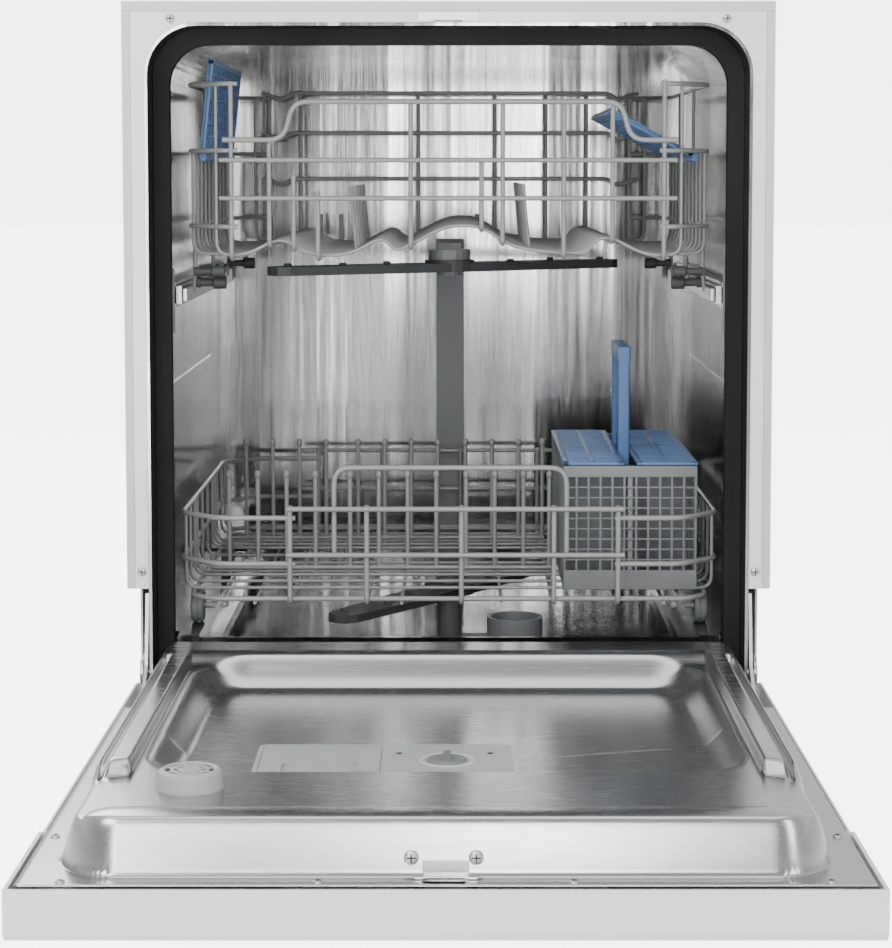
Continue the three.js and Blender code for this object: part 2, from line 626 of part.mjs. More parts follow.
function makeTrack() {
  const out = TUB_HALF - GAP;
  const [low, high] = [TRACK.z - TRACK.high / 2, TRACK.z + TRACK.high / 2];
  const section = outline([
    [TRACK.inner, low], [out, low], [out, high], [TRACK.inner, high], [TRACK.inner, high - 4],
    [out - 3, high - 4], [out - 3, low + 4], [TRACK.inner, low + 4],
  ]);
  return plate('xz', section, MOUTH_DEPTH + 9, UPPER.back + 12);
}

add('tub', makeTub(), STEEL);
add('front_frame', makeFrontFrame(), WHITE);
addPair('side_panel', makeSidePanel(), GREY_SHEET);
add('top_strip', box(-HALF, HALF, 0, 60, STRIP_Z, HEIGHT), GREY_SHEET);
add('top_cover', box(-HALF + SHEET + GAP, HALF - SHEET - GAP, FRAME_DEPTH + GAP, DEPTH, FRAME_TOP - SHEET,
  FRAME_TOP), GREY_SHEET);
add('rear_panel', makeRearPanel(), GREY_SHEET);
add('door_gasket', makeGasket(), RUBBER);
add('bottom_seal', makeBottomSeal(), RUBBER);
add('striker', makeStriker(), STEEL);
add('base_tray', makeTray(), DARK);
add('kick_plate', makeKickPlate(), DARK);
FEET.forEach(([x, y], i) => add(FOOT_NAMES[i], makeFoot(x, y), DARK));
add('sump', makeSump(), DARK);
add('circulation_pump', makeCirculationPump(), WHITE);
add('drain_pump', makeDrainPump(), WHITE);
add('inlet_valve', makeInletValve(), WHITE);
add('junction_box', makeJunctionBox(), GREY_SHEET);
add('feed_pipe', makeFeedPipe(), BASKET_GREY);
add('filter_plate', makeFilterPlate(), BASKET_GREY);
addPair('hinge_bracket', makeHingeBracket(), STEEL);
addPair('door_spring', makeDoorSpring(), STEEL);
addPair('rail_track', makeTrack(), STEEL);

// ---------------------------------------------------------------- door, drawn open

function makeDoorPanel() {
  const y0 = CONSOLE_BACK + GAP;
  const w = PANEL_WALL;
  return cut(
    box(-HALF, HALF, y0, DOOR_BACK, DOOR_BOTTOM, DOOR_RIM),
    box(-HALF + w, HALF - w, y0 + w, DOOR_BACK - w, DOOR_BOTTOM + w, DOOR_RIM + 1),
  );
}

function makeConsole() {
  const half = HALF + CONSOLE_PROUD;
  const w = CONSOLE_WALL;
  const section = outline([
    [DOOR_END + 6, DOOR_BOTTOM], [CONSOLE_BACK, DOOR_BOTTOM], [CONSOLE_BACK, DOOR_RIM],
    [DOOR_END, DOOR_RIM], [DOOR_END, DOOR_BOTTOM + 6],
  ]);
  const inside = outline([
    [DOOR_END + w + 5, DOOR_BOTTOM + w], [CONSOLE_BACK - w, DOOR_BOTTOM + w], [CONSOLE_BACK - w, DOOR_RIM + 1],
    [DOOR_END + w, DOOR_RIM + 1], [DOOR_END + w, DOOR_BOTTOM + w + 5],
  ]);
  const shell = cut(plate('yz', section, -half, half), plate('yz', inside, -half + w, half - w));
  const { half: ph, y0, y1, deep } = POCKET;
  const roof = DOOR_BOTTOM + deep;
  const [low, high] = [DOOR_BOTTOM - 1, DOOR_BOTTOM + w + 1];
  const holes = BUTTONS.map((x) => rod('z', BUTTON.r + FIT, low, high, x, BUTTON.y, 12));
  return cut(
    shell.add(box(-ph - w, ph + w, y0 - w, y1 + w, DOOR_BOTTOM + 1, roof + w)),
    box(-ph, ph, y0, y1, DOOR_BOTTOM - 1, roof),
    ...holes,
  );
}

function makeButton(x) {
  const wall = DOOR_BOTTOM + CONSOLE_WALL + GAP;
  return turned([
    [0, DOOR_BOTTOM - BUTTON.proud], [BUTTON.r - 1, DOOR_BOTTOM - BUTTON.proud],
    [BUTTON.r, DOOR_BOTTOM], [BUTTON.r, wall], [BUTTON.r + 2, wall], [BUTTON.r + 2, wall + 2], [0, wall + 2],
  ], x, BUTTON.y, 12);
}

// the liner's block, set in from its sides and lowered by the same amount
function linerBlock(inset) {
  const half = LINER_HALF - inset;
  const [front, back] = [LINER_FRONT + inset, LINER_BACK - inset];
  const foot = inset ? FLANGE_Z - 1 : FLANGE_Z;
  const section = outline([
    [front, foot], [back, foot], [back, LINER_TOP - inset], [BASIN_BACK + inset, LINER_TOP - inset],
    [BASIN_BACK + inset, PLATFORM_Z - inset], [RIDGE_END + 6, PLATFORM_Z - inset],
    [RIDGE_END, RIDGE_Z - inset], [LINER_FRONT + 10, RIDGE_Z - inset],
    [LINER_FRONT + 4, RIDGE_Z - 4 - inset], [front, RIDGE_Z - 12 - inset],
  ]);
  const plan = rounded(-half, half, front, back, LINER_CORNER - inset, 6);
  return plate('yz', section, -half, half).intersect(plate('xy', plan, FLANGE_Z - 2, LINER_TOP + 1, 8));
}

function linerBasin(grow) {
  const half = LINER_HALF - BASIN_INSET + grow;
  const [y0, y1] = [PLATFORM_END - grow, BASIN_BACK + grow];
  return basin(-half, half, y0, y1, 34, BASIN_Z - grow, PLATFORM_Z + 0.5, BASIN_SLOPE);
}

function makeLiner() {
  const flange = cut(
    plate('xy', rounded(-FLANGE_HALF, FLANGE_HALF, DOOR_END + 5, LINER_BACK, 8, 0), FLANGE_Z,
      FLANGE_Z + FLANGE_SHEET),
    box(ARM_IN - 3, HALF, ARM_NOTCH, LINER_BACK + 1, 0, HEIGHT),
    box(-HALF, -ARM_IN + 3, ARM_NOTCH, LINER_BACK + 1, 0, HEIGHT),
  );
  const ribIn = LINER_HALF - RIB_WIDTH;
  const rib = cut(
    box(ribIn, LINER_HALF, CONSOLE_BACK, BASIN_BACK + 10, PLATFORM_Z - 3, LINER_TOP),
    box(ribIn + 16, ribIn + 20, CONSOLE_BACK - 1, BASIN_BACK - 8, PLATFORM_Z, LINER_TOP + 1),
  );
  const { x0, x1, y0, y1, top, deep } = DISPENSER;
  const skinned = cut(
    join([linerBlock(0), flange, rib, mirrorX(rib)]),
    linerBasin(0),
    cut(linerBlock(LINER_SKIN), linerBasin(LINER_SKIN)),
  );
  return cut(
    skinned,
    box(x0 - GAP, x1 + GAP, y0 - GAP, y1 + GAP, top - deep, LINER_TOP + 1),
    rod('z', VENT.r - 6, FLANGE_Z, LINER_TOP, VENT.x, VENT.y),
    box(-17, 17, LATCH_Y - 5, LATCH_Y + 5, FLANGE_Z - 1, FLANGE_Z + 3),
  );
}

function makeHingeArm() {
  const back = HINGE_Y + 14;
  const blade = outline([
    [-120, 190], [-20, 190], [HINGE_Y, 226], [back, 232], [back, 300], [HINGE_Y + 8, 314],
    [HINGE_Y - 2, 314], [-4, 248], [-30, 228], [-62, 214], [-120, 214],
  ]);
  return cut(
    plate('yz', blade, ARM_IN, ARM_IN + ARM_SHEET),
    rod('x', HINGE_PIN + FIT, ARM_IN - 1, ARM_IN + ARM_SHEET + 1, HINGE_Y, HINGE_Z, 16),
    rod('x', 3, ARM_IN - 1, ARM_IN + ARM_SHEET + 1, HINGE_Y + 4, 304, 10),
  );
}

function makeDispenser() {
  const { x0, x1, y0, y1, top, deep } = DISPENSER;
  const lid = DETERGENT_LID;
  return cut(
    plate('xy', rounded(x0, x1, y0, y1, 8), top - deep, top, 3),
    box(lid.x0 - FIT, lid.x1 + FIT, lid.y0 - FIT, lid.y1 + FIT, top - lid.thick - GAP, top + 1),
    box(lid.x0 + 6, lid.x1 - 6, lid.y0 + 6, lid.y1 - 6, top - deep + 6, top),
    rod('z', RINSE_CAP.r + FIT, top - 6, top + 1, RINSE_CAP.x, RINSE_CAP.y),
    rod('z', 10, top - deep + 6, top, RINSE_CAP.x, RINSE_CAP.y),
  );
}

function makeDetergentLid() {
  const { x0, x1, y0, y1, thick } = DETERGENT_LID;
  const top = DISPENSER.top;
  return cut(
    plate('xy', rounded(x0, x1, y0, y1, 5), top - thick, top, 3),
    plate('xy', rounded(x0 + 18, x1 - 18, y0 + 14, y0 + 44, 6), top - 2.5, top + 1, 3),
  );
}

function makeRinseCap() {
  const { x, y, r, high } = RINSE_CAP;
  const top = DISPENSER.top;
  const cap = turned([[0, top - 5], [r, top - 5], [r, top], [r - 2, top + 2], [0, top + 2]], x, y);
  return cap.add(box(x - 3, x + 3, y - r + 4, y + r - 4, top, top + high));
}

function makeVentCap() {
  const { x, y, r, high } = VENT;
  const seat = PLATFORM_Z + GAP;
  const stem = r - 6 - FIT;
  return turned([
    [0, seat - 9], [stem, seat - 9], [stem, seat], [r, seat], [r, seat + 4], [r - 4, seat + 6],
    [r - 4, seat + high - 3], [r - 7, seat + high], [0, seat + high],
  ], x, y);
}

function makeLatchHousing() {
  const y0 = LATCH_Y - 8.5;
  return cut(
    box(-LATCH_HALF, LATCH_HALF, y0, LATCH_Y + 8.5, DOOR_BOTTOM + 8, DOOR_RIM - GAP),
    box(-STRIKER_HALF - 1.5, STRIKER_HALF + 1.5, LATCH_Y - 4, LATCH_Y + 4, LATCH_FLOOR, DOOR_RIM),
    box(-3, 3, LATCH_Y - 7, LATCH_Y + 5, LATCH_FLOOR - 13, DOOR_RIM),
  );
}

function makeLatchHook() {
  const z = LATCH_FLOOR;
  const hook = outline([
    [LATCH_Y - 2.5, z - 12], [LATCH_Y + 2.5, z - 12], [LATCH_Y + 3, z + 3], [LATCH_Y - 3, z + 5],
    [LATCH_Y - 3, z],
  ]);
  return plate('yz', hook, -2.2, 2.2);
}

add('door_liner', makeLiner(), STEEL);
add('door_panel', makeDoorPanel(), WHITE);
add('console', makeConsole(), WHITE);
addPair('hinge_arm', makeHingeArm(), STEEL);
add('dispenser', makeDispenser(), GREY_SHEET);
add('detergent_lid', makeDetergentLid(), GREY_SHEET);
add('rinse_aid_cap', makeRinseCap(), BASKET_GREY);
add('vent_cap', makeVentCap(), GREY_SHEET);
add('latch_housing', makeLatchHousing(), DARK);
add('latch_hook', makeLatchHook(), DARK);
BUTTONS.forEach((x, i) => add(`button_${i + 1}`, makeButton(x), DARK));

// ---------------------------------------------------------------- racks

function waveHeight(x) {
  const next = UPPER_WAVE.findIndex(([at]) => at >= x);
  if (next < 1) return 0;
  const [x0, z0] = UPPER_WAVE[next - 1];
  const [x1, z1] = UPPER_WAVE[next];
  return z0 + ((z1 - z0) * (x - x0)) / (x1 - x0);
}

// a wire on the right side and its mirror image, which meet in the middle
function bothSides(corners, radius) {
  const right = wire(corners, WIRE, radius);
  return right.add(mirrorX(right));
}

// a rack's ring of wire with its front corners cut back
function ring({ half, front, back }, z, frontZ = z) {
  const c = RACK_CHAMFER;
  return bothSides([
    [-0.5, back, z], [half, back, z], [half, front + c, z], [half - c, front, frontZ], [-0.5, front, frontZ],
  ], BEND);
}

// the upper rack's rim, with the grip bar raised between two dips at the front
function upperRim() {
  const { half, front, back, rim } = UPPER;
  const c = RACK_CHAMFER;
  const grip = half - 94;
  return bothSides([
    [-0.5, back, rim], [half, back, rim], [half, front + c + 22, rim], [half - c + 8, front, UPPER_DIP],
    [grip + 14, front, UPPER_DIP], [grip, front, UPPER_GRIP], [-0.5, front, UPPER_GRIP],
  ], 10);
}

function upperCross(y) {
  const { floor, rim } = UPPER;
  const half = UPPER.half - WELD;
  const wave = UPPER_WAVE.map(([x, up]) => [x, y, floor + up]);
  return wire([[-half, y, rim], [-half, y, floor], ...wave, [half, y, floor], [half, y, rim]], THIN_WIRE, BEND);
}

function upperLength(x) {
  const [front, back] = [UPPER.front + WELD, UPPER.back - WELD];
  const z = UPPER.floor + waveHeight(x) - WELD;
  const top = Math.abs(x) < UPPER.half - 94 ? UPPER_GRIP : UPPER_DIP;
  return wire([[x, front, top], [x, front, z], [x, back, z], [x, back, UPPER_BACK_RIM]], THIN_WIRE, BEND);
}

// a lug on the right side that holds one end of a cup shelf's barrel
function shelfLug(y, towards) {
  return join([
    box(SHELF.hinge - 5, UPPER.half + 1, y - 3, y + 3, SHELF.z - 5, SHELF.z + 8),
    rod('y', 2.4, Math.min(y, y + 10 * towards), Math.max(y, y + 10 * towards), SHELF.hinge, SHELF.z, 10),
  ]);
}

function makeUpperRack() {
  const { half, front, back } = UPPER;
  const pitch = (back - front - 70) / (UPPER_CROSS - 1);
  const cross = Array.from({ length: UPPER_CROSS }, (_, i) => upperCross(front + 40 + i * pitch));
  const x0 = RACK_RAIL.inner;
  const rail = box(x0, x0 + RACK_RAIL.thick, front + 6, back - 5, TRACK.z - RACK_RAIL.high / 2,
    TRACK.z + RACK_RAIL.high / 2);
  const hangers = [front + 58, back - 95].map((y) => box(half - 5, half + 2, y - 9, y + 9, TRACK.z, 658));
  const lugs = [shelfLug(SHELF.y0 - 5, 1), shelfLug(SHELF.y0 + SHELF.length + 5, -1)];
  const side = [rail, ...hangers, ...lugs];
  return join([
    upperRim(), ring(UPPER, 727, UPPER_BARS[0]), ring(UPPER, 656, UPPER_BARS[1]),
    cross, UPPER_LENGTHS.map(upperLength), side, side.map(mirrorX),
  ]);
}

function makeRackManifold() {
  const { y, z, high } = UPPER_ARM;
  const low = z + high + GAP;
  const top = UPPER.floor - THIN_WIRE - GAP;
  return join([
    rod('z', 22, low, top, 0, y, 20),
    box(-12, 12, y, TUB_BACK - 24 - 2 * GAP, low + 1, top),
    rod('z', 6, z - 4, low + 1, 0, y, 16),
    rod('z', 13, z - 4, z - GAP, 0, y, 16),
  ]);
}

function makeMiddleRail() {
  const { inner, thick, high } = MIDDLE_RAIL;
  return box(inner, inner + thick, MOUTH_DEPTH + 11, UPPER.back + 5, TRACK.z - high / 2, TRACK.z + high / 2);
}

// a cup shelf at the right side, tilted up from level by the given angle
function makeShelf(tilt) {
  const { hinge, z, width, length, y0, thick } = SHELF;
  const board = box(-width, 0, y0, y0 + length, -thick / 2, thick / 2);
  const slots = [0, 1, 2, 3].map((i) => {
    const start = y0 + 14 + (i * (length - 14)) / 4;
    return box(-width + 12, -14, start, start + (length - 14) / 4 - 14, -thick, thick);
  });
  const barrel = rod('y', 5, y0, y0 + length, 0, 0, 12);
  const bore = rod('y', 3, y0 - 1, y0 + length + 1, 0, 0, 12);
  return cut(board.add(barrel), bore, ...slots).rotate([0, tilt, 0]).translate([hinge, 0, z]);
}

function makeSprayArm({ y, z, high, r, turn, hub }, bore) {
  const blade = outline([
    [-r + 14, -17], [-60, -23], [60, -23], [r - 14, -17], [r - 3, -11], [r, 0],
    [r - 3, 11], [r - 14, 17], [60, 23], [-60, 23], [-r + 14, 17], [-r + 3, 11], [-r, 0], [-r + 3, -11],
  ]);
  const body = plate('xy', blade, z, z + high - 3).add(rod('z', hub + 6, z, z + high, 0, 0));
  const nozzles = NOZZLES_IN.map((inset) => r - inset).flatMap((at, i) => {
    const off = i % 2 ? 7 : -7;
    const nozzle = (x, y) => rod('z', 5, z + high - 4, z + high, x, y, 6, 3);
    return [nozzle(at, off), nozzle(-at, -off)];
  });
  return cut(join([body, ...nozzles]), rod('z', bore, z - 1, z + high + 1, 0, 0, 20)).rotate([0, 0, turn])
    .translate([0, y, 0]);
}

function lowerCross(y) {
  const { side } = LOWER;
  const [half, floor] = [LOWER.half - WELD, LOWER.floor + WELD];
  return wire([[-half, y, side], [-half, y, floor], [half, y, floor], [half, y, side]], THIN_WIRE, BEND);
}

function lowerLength(x) {
  const { floor, bar, side } = LOWER;
  const [front, back] = [LOWER.front + WELD, LOWER.back - WELD];
  return wire([[x, front, bar + 4], [x, front, floor], [x, back, floor], [x, back, side]], THIN_WIRE, BEND);
}

// the bracket and axle of one right-hand wheel
function wheelMount(y) {
  const z = LEDGE_TOP + GAP + WHEEL.r;
  const end = WHEEL.inner + WHEEL.width;
  return join([
    box(HANGER.x0, HANGER.x1, y - 9, y + 9, z - 6, LOWER.floor + 2),
    rod('x', WHEEL.axle, HANGER.x1 - 1, end + 1, y, z, 12),
    rod('x', WHEEL.axle + 2, end + GAP, end + 2, y, z, 12),
  ]);
}

function makeLowerRack() {
  const { half, front, back, floor, bar, side, low } = LOWER;
  const keelX = HANGER.x0 + 2.5;
  const keel = wire([[keelX, front + 12, floor + 0.5], [keelX, back, floor + 0.5]], THIN_WIRE);
  const mounts = [WHEEL.front, WHEEL.back].map(wheelMount);
  const tines = TINES.rows.flatMap((y) => Array.from({ length: TINES.count }, (_, i) => {
    const x = TINES.first + i * TINES.pitch;
    return wire([[x, y + 0.4, floor], [x, y + 0.4, TINES.top]], THIN_WIRE);
  }));
  const bars = TINES.rows.map((y) => wire([[-half, y, floor + WELD], [half, y, floor + WELD]], THIN_WIRE));
  const { half: hh, top, foot } = HANDLE;
  const y = front + WELD;
  const handle = wire([[-hh, y, foot - 1], [-hh, y, top], [hh, y, top], [hh, y, foot - 1]], WIRE, 16);
  return join([
    ring(LOWER, side, bar), ring(LOWER, low, foot), ring(LOWER, floor), handle,
    LOWER_CROSS.map(lowerCross), LOWER_LENGTHS.map(lowerLength), tines, bars,
    keel, mounts, mirrorX(keel), mounts.map(mirrorX),
  ]);
}

function makeWheel(side, y) {
  const z = LEDGE_TOP + GAP + WHEEL.r;
  const { r, inner, width, axle } = WHEEL;
  const disc = cut(
    rod('x', r, inner, inner + width, y, z, 20),
    rod('x', axle + FIT, inner - 1, inner + width + 1, y, z, 12),
    rod('x', r - 4, inner + width - 3, inner + width + 1, y, z, 16),
  ).add(cut(
    rod('x', axle + 3, inner + width - 4, inner + width, y, z, 12),
    rod('x', axle + FIT, inner - 1, inner + width + 1, y, z, 12),
  ));
  return side > 0 ? disc : mirrorX(disc);
}

function makeBasket() {
  const { x0, x1, y0, y1, z0, z1, wall } = BASKET;
  const inside = box(x0 + wall, x1 - wall, y0 + wall, y1 - wall, z0 + wall, z1 + 1);
  const shell = cut(box(x0, x1, y0, y1, z0, z1), inside);
  const [windowLow, windowHigh] = [z0 + 22, z1 - 22];
  const across = [0, 1, 2].map((i) => {
    const start = x0 + 12 + (i * (x1 - x0 - 12)) / 3;
    return box(start, start + (x1 - x0 - 12) / 3 - 12, y0 - 1, y1 + 1, windowLow, windowHigh);
  });
  const along = [0, 1, 2, 3, 4].map((i) => {
    const start = y0 + 12 + (i * (y1 - y0 - 12)) / 5;
    return box(x0 - 1, x1 + 1, start, start + (y1 - y0 - 12) / 5 - 12, windowLow, windowHigh);
  });
  const middle = (x0 + x1) / 2;
  const walls = Array.from({ length: DIVIDERS }, (_, i) => {
    const y = y0 + ((i + 1) * (y1 - y0)) / (DIVIDERS + 1);
    return box(x0 + 1, x1 - 1, y - 1, y + 1, z0 + 1, z1 - 4);
  });
  const spine = box(middle - 1, middle + 1, y0 + 1, y1 - 1, z0 + 1, z1 - 4);
  const centre = (y0 + y1) / 2;
  const grip = cut(
    plate('yz', rounded(centre - 52, centre + 52, z1 - 20, BASKET_GRIP, 0, 20), middle - 3, middle + 3, 3),
    plate('yz', rounded(centre - 40, centre + 40, z1 + 10, BASKET_GRIP - 13, 8, 12), middle - 4, middle + 4, 3),
  );
  return join([cut(shell, ...across, ...along), walls, spine, grip]);
}

// one flap of the basket's lid; side 1 is hinged on the right edge, side -1 on the left
function makeFlap(side) {
  const { x0, x1, y0, y1, z1 } = BASKET;
  const half = (x1 - x0) / 2;
  const z = z1 + GAP;
  const board = box(6, half, y0, y1, z, z + 3);
  const slots = [0, 1, 2, 3, 4].map((i) => {
    const start = y0 + 10 + (i * (y1 - y0 - 10)) / 5;
    return box(16, half - 10, start, start + (y1 - y0 - 10) / 5 - 10, z - 1, z + 4);
  });
  const flap = cut(board, ...slots);
  return (side > 0 ? flap : mirrorX(flap)).translate([(x0 + x1) / 2, 0, 0]);
}

add('upper_rack', makeUpperRack(), RACK_GREY);
add('rack_manifold', makeRackManifold(), BASKET_GREY);
addPair('middle_rail', makeMiddleRail(), STEEL);
add('cup_shelf_right', makeShelf(SHELF.tilt), BLUE);
add('cup_shelf_left', mirrorX(makeShelf(SHELF.up)), BLUE);
add('upper_spray_arm', makeSprayArm(UPPER_ARM, 6 + FIT), DARK);
add('lower_rack', makeLowerRack(), RACK_GREY);
[['front', WHEEL.front], ['rear', WHEEL.back]].forEach(([end, y]) => {
  add(`wheel_${end}_left`, makeWheel(-1, y), DARK);
  add(`wheel_${end}_right`, makeWheel(1, y), DARK);
});
add('cutlery_basket', makeBasket(), BASKET_GREY);
add('lid_flap_left', makeFlap(-1), BLUE);
add('lid_flap_right', makeFlap(1), BLUE);
add('lower_spray_arm', makeSprayArm(LOWER_ARM, POST_RADIUS + FIT), DARK);
add('filter_cup', makeFilterCup(), BASKET_GREY);

// ---------------------------------------------------------------- origin
model.updateMatrixWorld(true);
const extent = new THREE.Box3().setFromObject(model);
model.position.set(-(extent.min.x + extent.max.x) / 2, -(extent.min.y + extent.max.y) / 2, -extent.min.z);

export default model;
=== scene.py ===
"""Built-in dishwasher, door open, racks in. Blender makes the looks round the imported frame."""
import json
import math

import bmesh
import bpy
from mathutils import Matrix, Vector


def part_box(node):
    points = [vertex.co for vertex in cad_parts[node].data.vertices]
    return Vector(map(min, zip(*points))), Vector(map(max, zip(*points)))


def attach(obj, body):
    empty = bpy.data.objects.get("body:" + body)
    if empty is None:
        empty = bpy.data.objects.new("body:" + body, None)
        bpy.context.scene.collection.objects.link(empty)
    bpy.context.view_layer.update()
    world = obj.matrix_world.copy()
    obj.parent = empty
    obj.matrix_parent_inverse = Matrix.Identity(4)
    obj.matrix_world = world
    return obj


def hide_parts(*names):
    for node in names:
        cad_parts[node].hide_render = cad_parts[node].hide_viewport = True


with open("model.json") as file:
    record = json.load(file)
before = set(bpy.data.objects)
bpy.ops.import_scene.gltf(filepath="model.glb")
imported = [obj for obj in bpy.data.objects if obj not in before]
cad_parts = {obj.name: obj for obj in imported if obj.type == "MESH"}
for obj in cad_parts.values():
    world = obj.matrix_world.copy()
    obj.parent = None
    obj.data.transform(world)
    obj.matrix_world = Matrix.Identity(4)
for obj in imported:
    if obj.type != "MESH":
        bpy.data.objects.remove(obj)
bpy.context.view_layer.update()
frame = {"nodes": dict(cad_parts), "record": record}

NODES = frame["nodes"]
MM = 0.001


# ---------------------------------------------------------------- places taken from the frame
def edges(node):
    """x0, x1, y0, y1, z0, z1 of a CAD node, in millimetres."""
    low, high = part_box(node)
    return [value / MM for pair in zip(low, high) for value in pair]


GASKET = edges("door_gasket")
LINER = edges("door_liner")
FRONT = edges("front_frame")[2]  # y of the front flange
UPPER = edges("upper_rack")
VENT = edges("vent_cap")
DISPENSER = edges("dispenser")


def at(x, y, z):
    return Vector((x, y, z)) * MM


# ---------------------------------------------------------------- camera and light
# Fitted to the photograph: millimetres, with "back" measured from the front flange, and degrees of pitch.
CAMERA = {"x": 7.2, "back": 2211.5, "z": 708.0, "pitch": 4.5, "lens": 90.93, "shift": (-0.0109, -0.12)}
SKY_DARK, SKY_BRIGHT = (0.3, 0.3, 0.305, 1), (1, 1, 1, 1)
SKY_STRENGTH = 0.95
BACKDROP_STRENGTH = 6  # what only the camera sees behind the machine
FLOOR_GLOW, FLOOR_GLOW_SEEN = 0.35, 5  # as light, and as seen by the camera
LIGHTS = [  # name, place, aim and size in metres, power in watts
    ("key", (-1.5, -2.4, 2.5), (0, 0, 0.45), (1.3, 1.3), 48),
    ("fill", (2.0, -2.2, 1.4), (0, 0, 0.4), (0.5, 1.9), 20),
    ("strip_left", (-0.75, -3.1, 1.0), (-0.1, 0.5, 0.5), (0.22, 2.0), 24),
    ("strip_middle", (0.12, -3.3, 1.3), (0.05, 0.5, 0.5), (0.3, 1.8), 34),
    ("over", (0, -0.6, 2.7), (0, -0.35, 0.2), (2.6, 1.4), 20),
    ("behind", (-1.2, 2.8, 2.2), (0, 0.6, 0.3), (2.4, 1.6), 70),
]


def make_camera():
    data = bpy.data.cameras.new("camera")
    data.lens = CAMERA["lens"]
    data.shift_x, data.shift_y = CAMERA["shift"]
    data.clip_start, data.clip_end = 0.05, 50
    camera = bpy.data.objects.new("camera", data)
    bpy.context.scene.collection.objects.link(camera)
    camera.location = at(CAMERA["x"], FRONT - CAMERA["back"], CAMERA["z"])
    camera.rotation_euler = (math.radians(90 - CAMERA["pitch"]), 0, 0)
    bpy.context.scene.camera = camera


def area_light(name, place, aim, size, power):
    data = bpy.data.lights.new(name, "AREA")
    data.shape = "RECTANGLE"
    data.size, data.size_y = size
    data.energy = power
    light = bpy.data.objects.new(name, data)
    light.location = place
    light.rotation_euler = (Vector(aim) - Vector(place)).to_track_quat("-Z", "Y").to_euler()
    bpy.context.scene.collection.objects.link(light)


def make_studio():
    """White behind the machine, and darker towards the camera, so that steel has something to mirror."""
    world = bpy.data.worlds.new("studio")
    bpy.context.scene.world = world
    world.use_nodes = True
    tree = world.node_tree
    sky = tree.nodes["Background"]
    coords = tree.nodes.new("ShaderNodeTexCoord")
    split = tree.nodes.new("ShaderNodeSeparateXYZ")
    ramp = tree.nodes.new("ShaderNodeValToRGB")
    tree.links.new(coords.outputs["Generated"], split.inputs[0])
    spread = tree.nodes.new("ShaderNodeMapRange")
    spread.inputs["From Min"].default_value = -1
    tree.links.new(split.outputs["Y"], spread.inputs["Value"])
    tree.links.new(spread.outputs["Result"], ramp.inputs["Fac"])
    tree.links.new(ramp.outputs["Color"], sky.inputs["Color"])
    ramp.color_ramp.elements[0].position = 0.1
    ramp.color_ramp.elements[0].color = SKY_DARK
    ramp.color_ramp.elements[1].position = 0.62
    ramp.color_ramp.elements[1].color = SKY_BRIGHT
    sky.inputs["Strength"].default_value = SKY_STRENGTH
    backdrop = tree.nodes.new("ShaderNodeBackground")
    backdrop.inputs["Strength"].default_value = BACKDROP_STRENGTH
    mix = tree.nodes.new("ShaderNodeMixShader")
    path = tree.nodes.new("ShaderNodeLightPath")
    tree.links.new(path.outputs["Is Camera Ray"], mix.inputs["Fac"])
    tree.links.new(sky.outputs[0], mix.inputs[1])
    tree.links.new(backdrop.outputs[0], mix.inputs[2])
    tree.links.new(mix.outputs[0], tree.nodes["World Output"].inputs["Surface"])
    for light in LIGHTS:
        area_light(*light)


def make_floor(mat):
    shader = mat.node_tree.nodes["Principled BSDF"]
    shader.inputs["Emission Color"].default_value = (1, 1, 1, 1)
    path = mat.node_tree.nodes.new("ShaderNodeLightPath")
    glow = mat.node_tree.nodes.new("ShaderNodeMapRange")
    glow.inputs["To Min"].default_value = FLOOR_GLOW
    glow.inputs["To Max"].default_value = FLOOR_GLOW_SEEN
    mat.node_tree.links.new(path.outputs["Is Camera Ray"], glow.inputs["Value"])
    mat.node_tree.links.new(glow.outputs["Result"], shader.inputs["Emission Strength"])
    bpy.ops.mesh.primitive_plane_add(size=60)
    floor = bpy.context.object
    floor.name = "floor"
    floor.data.materials.append(mat)


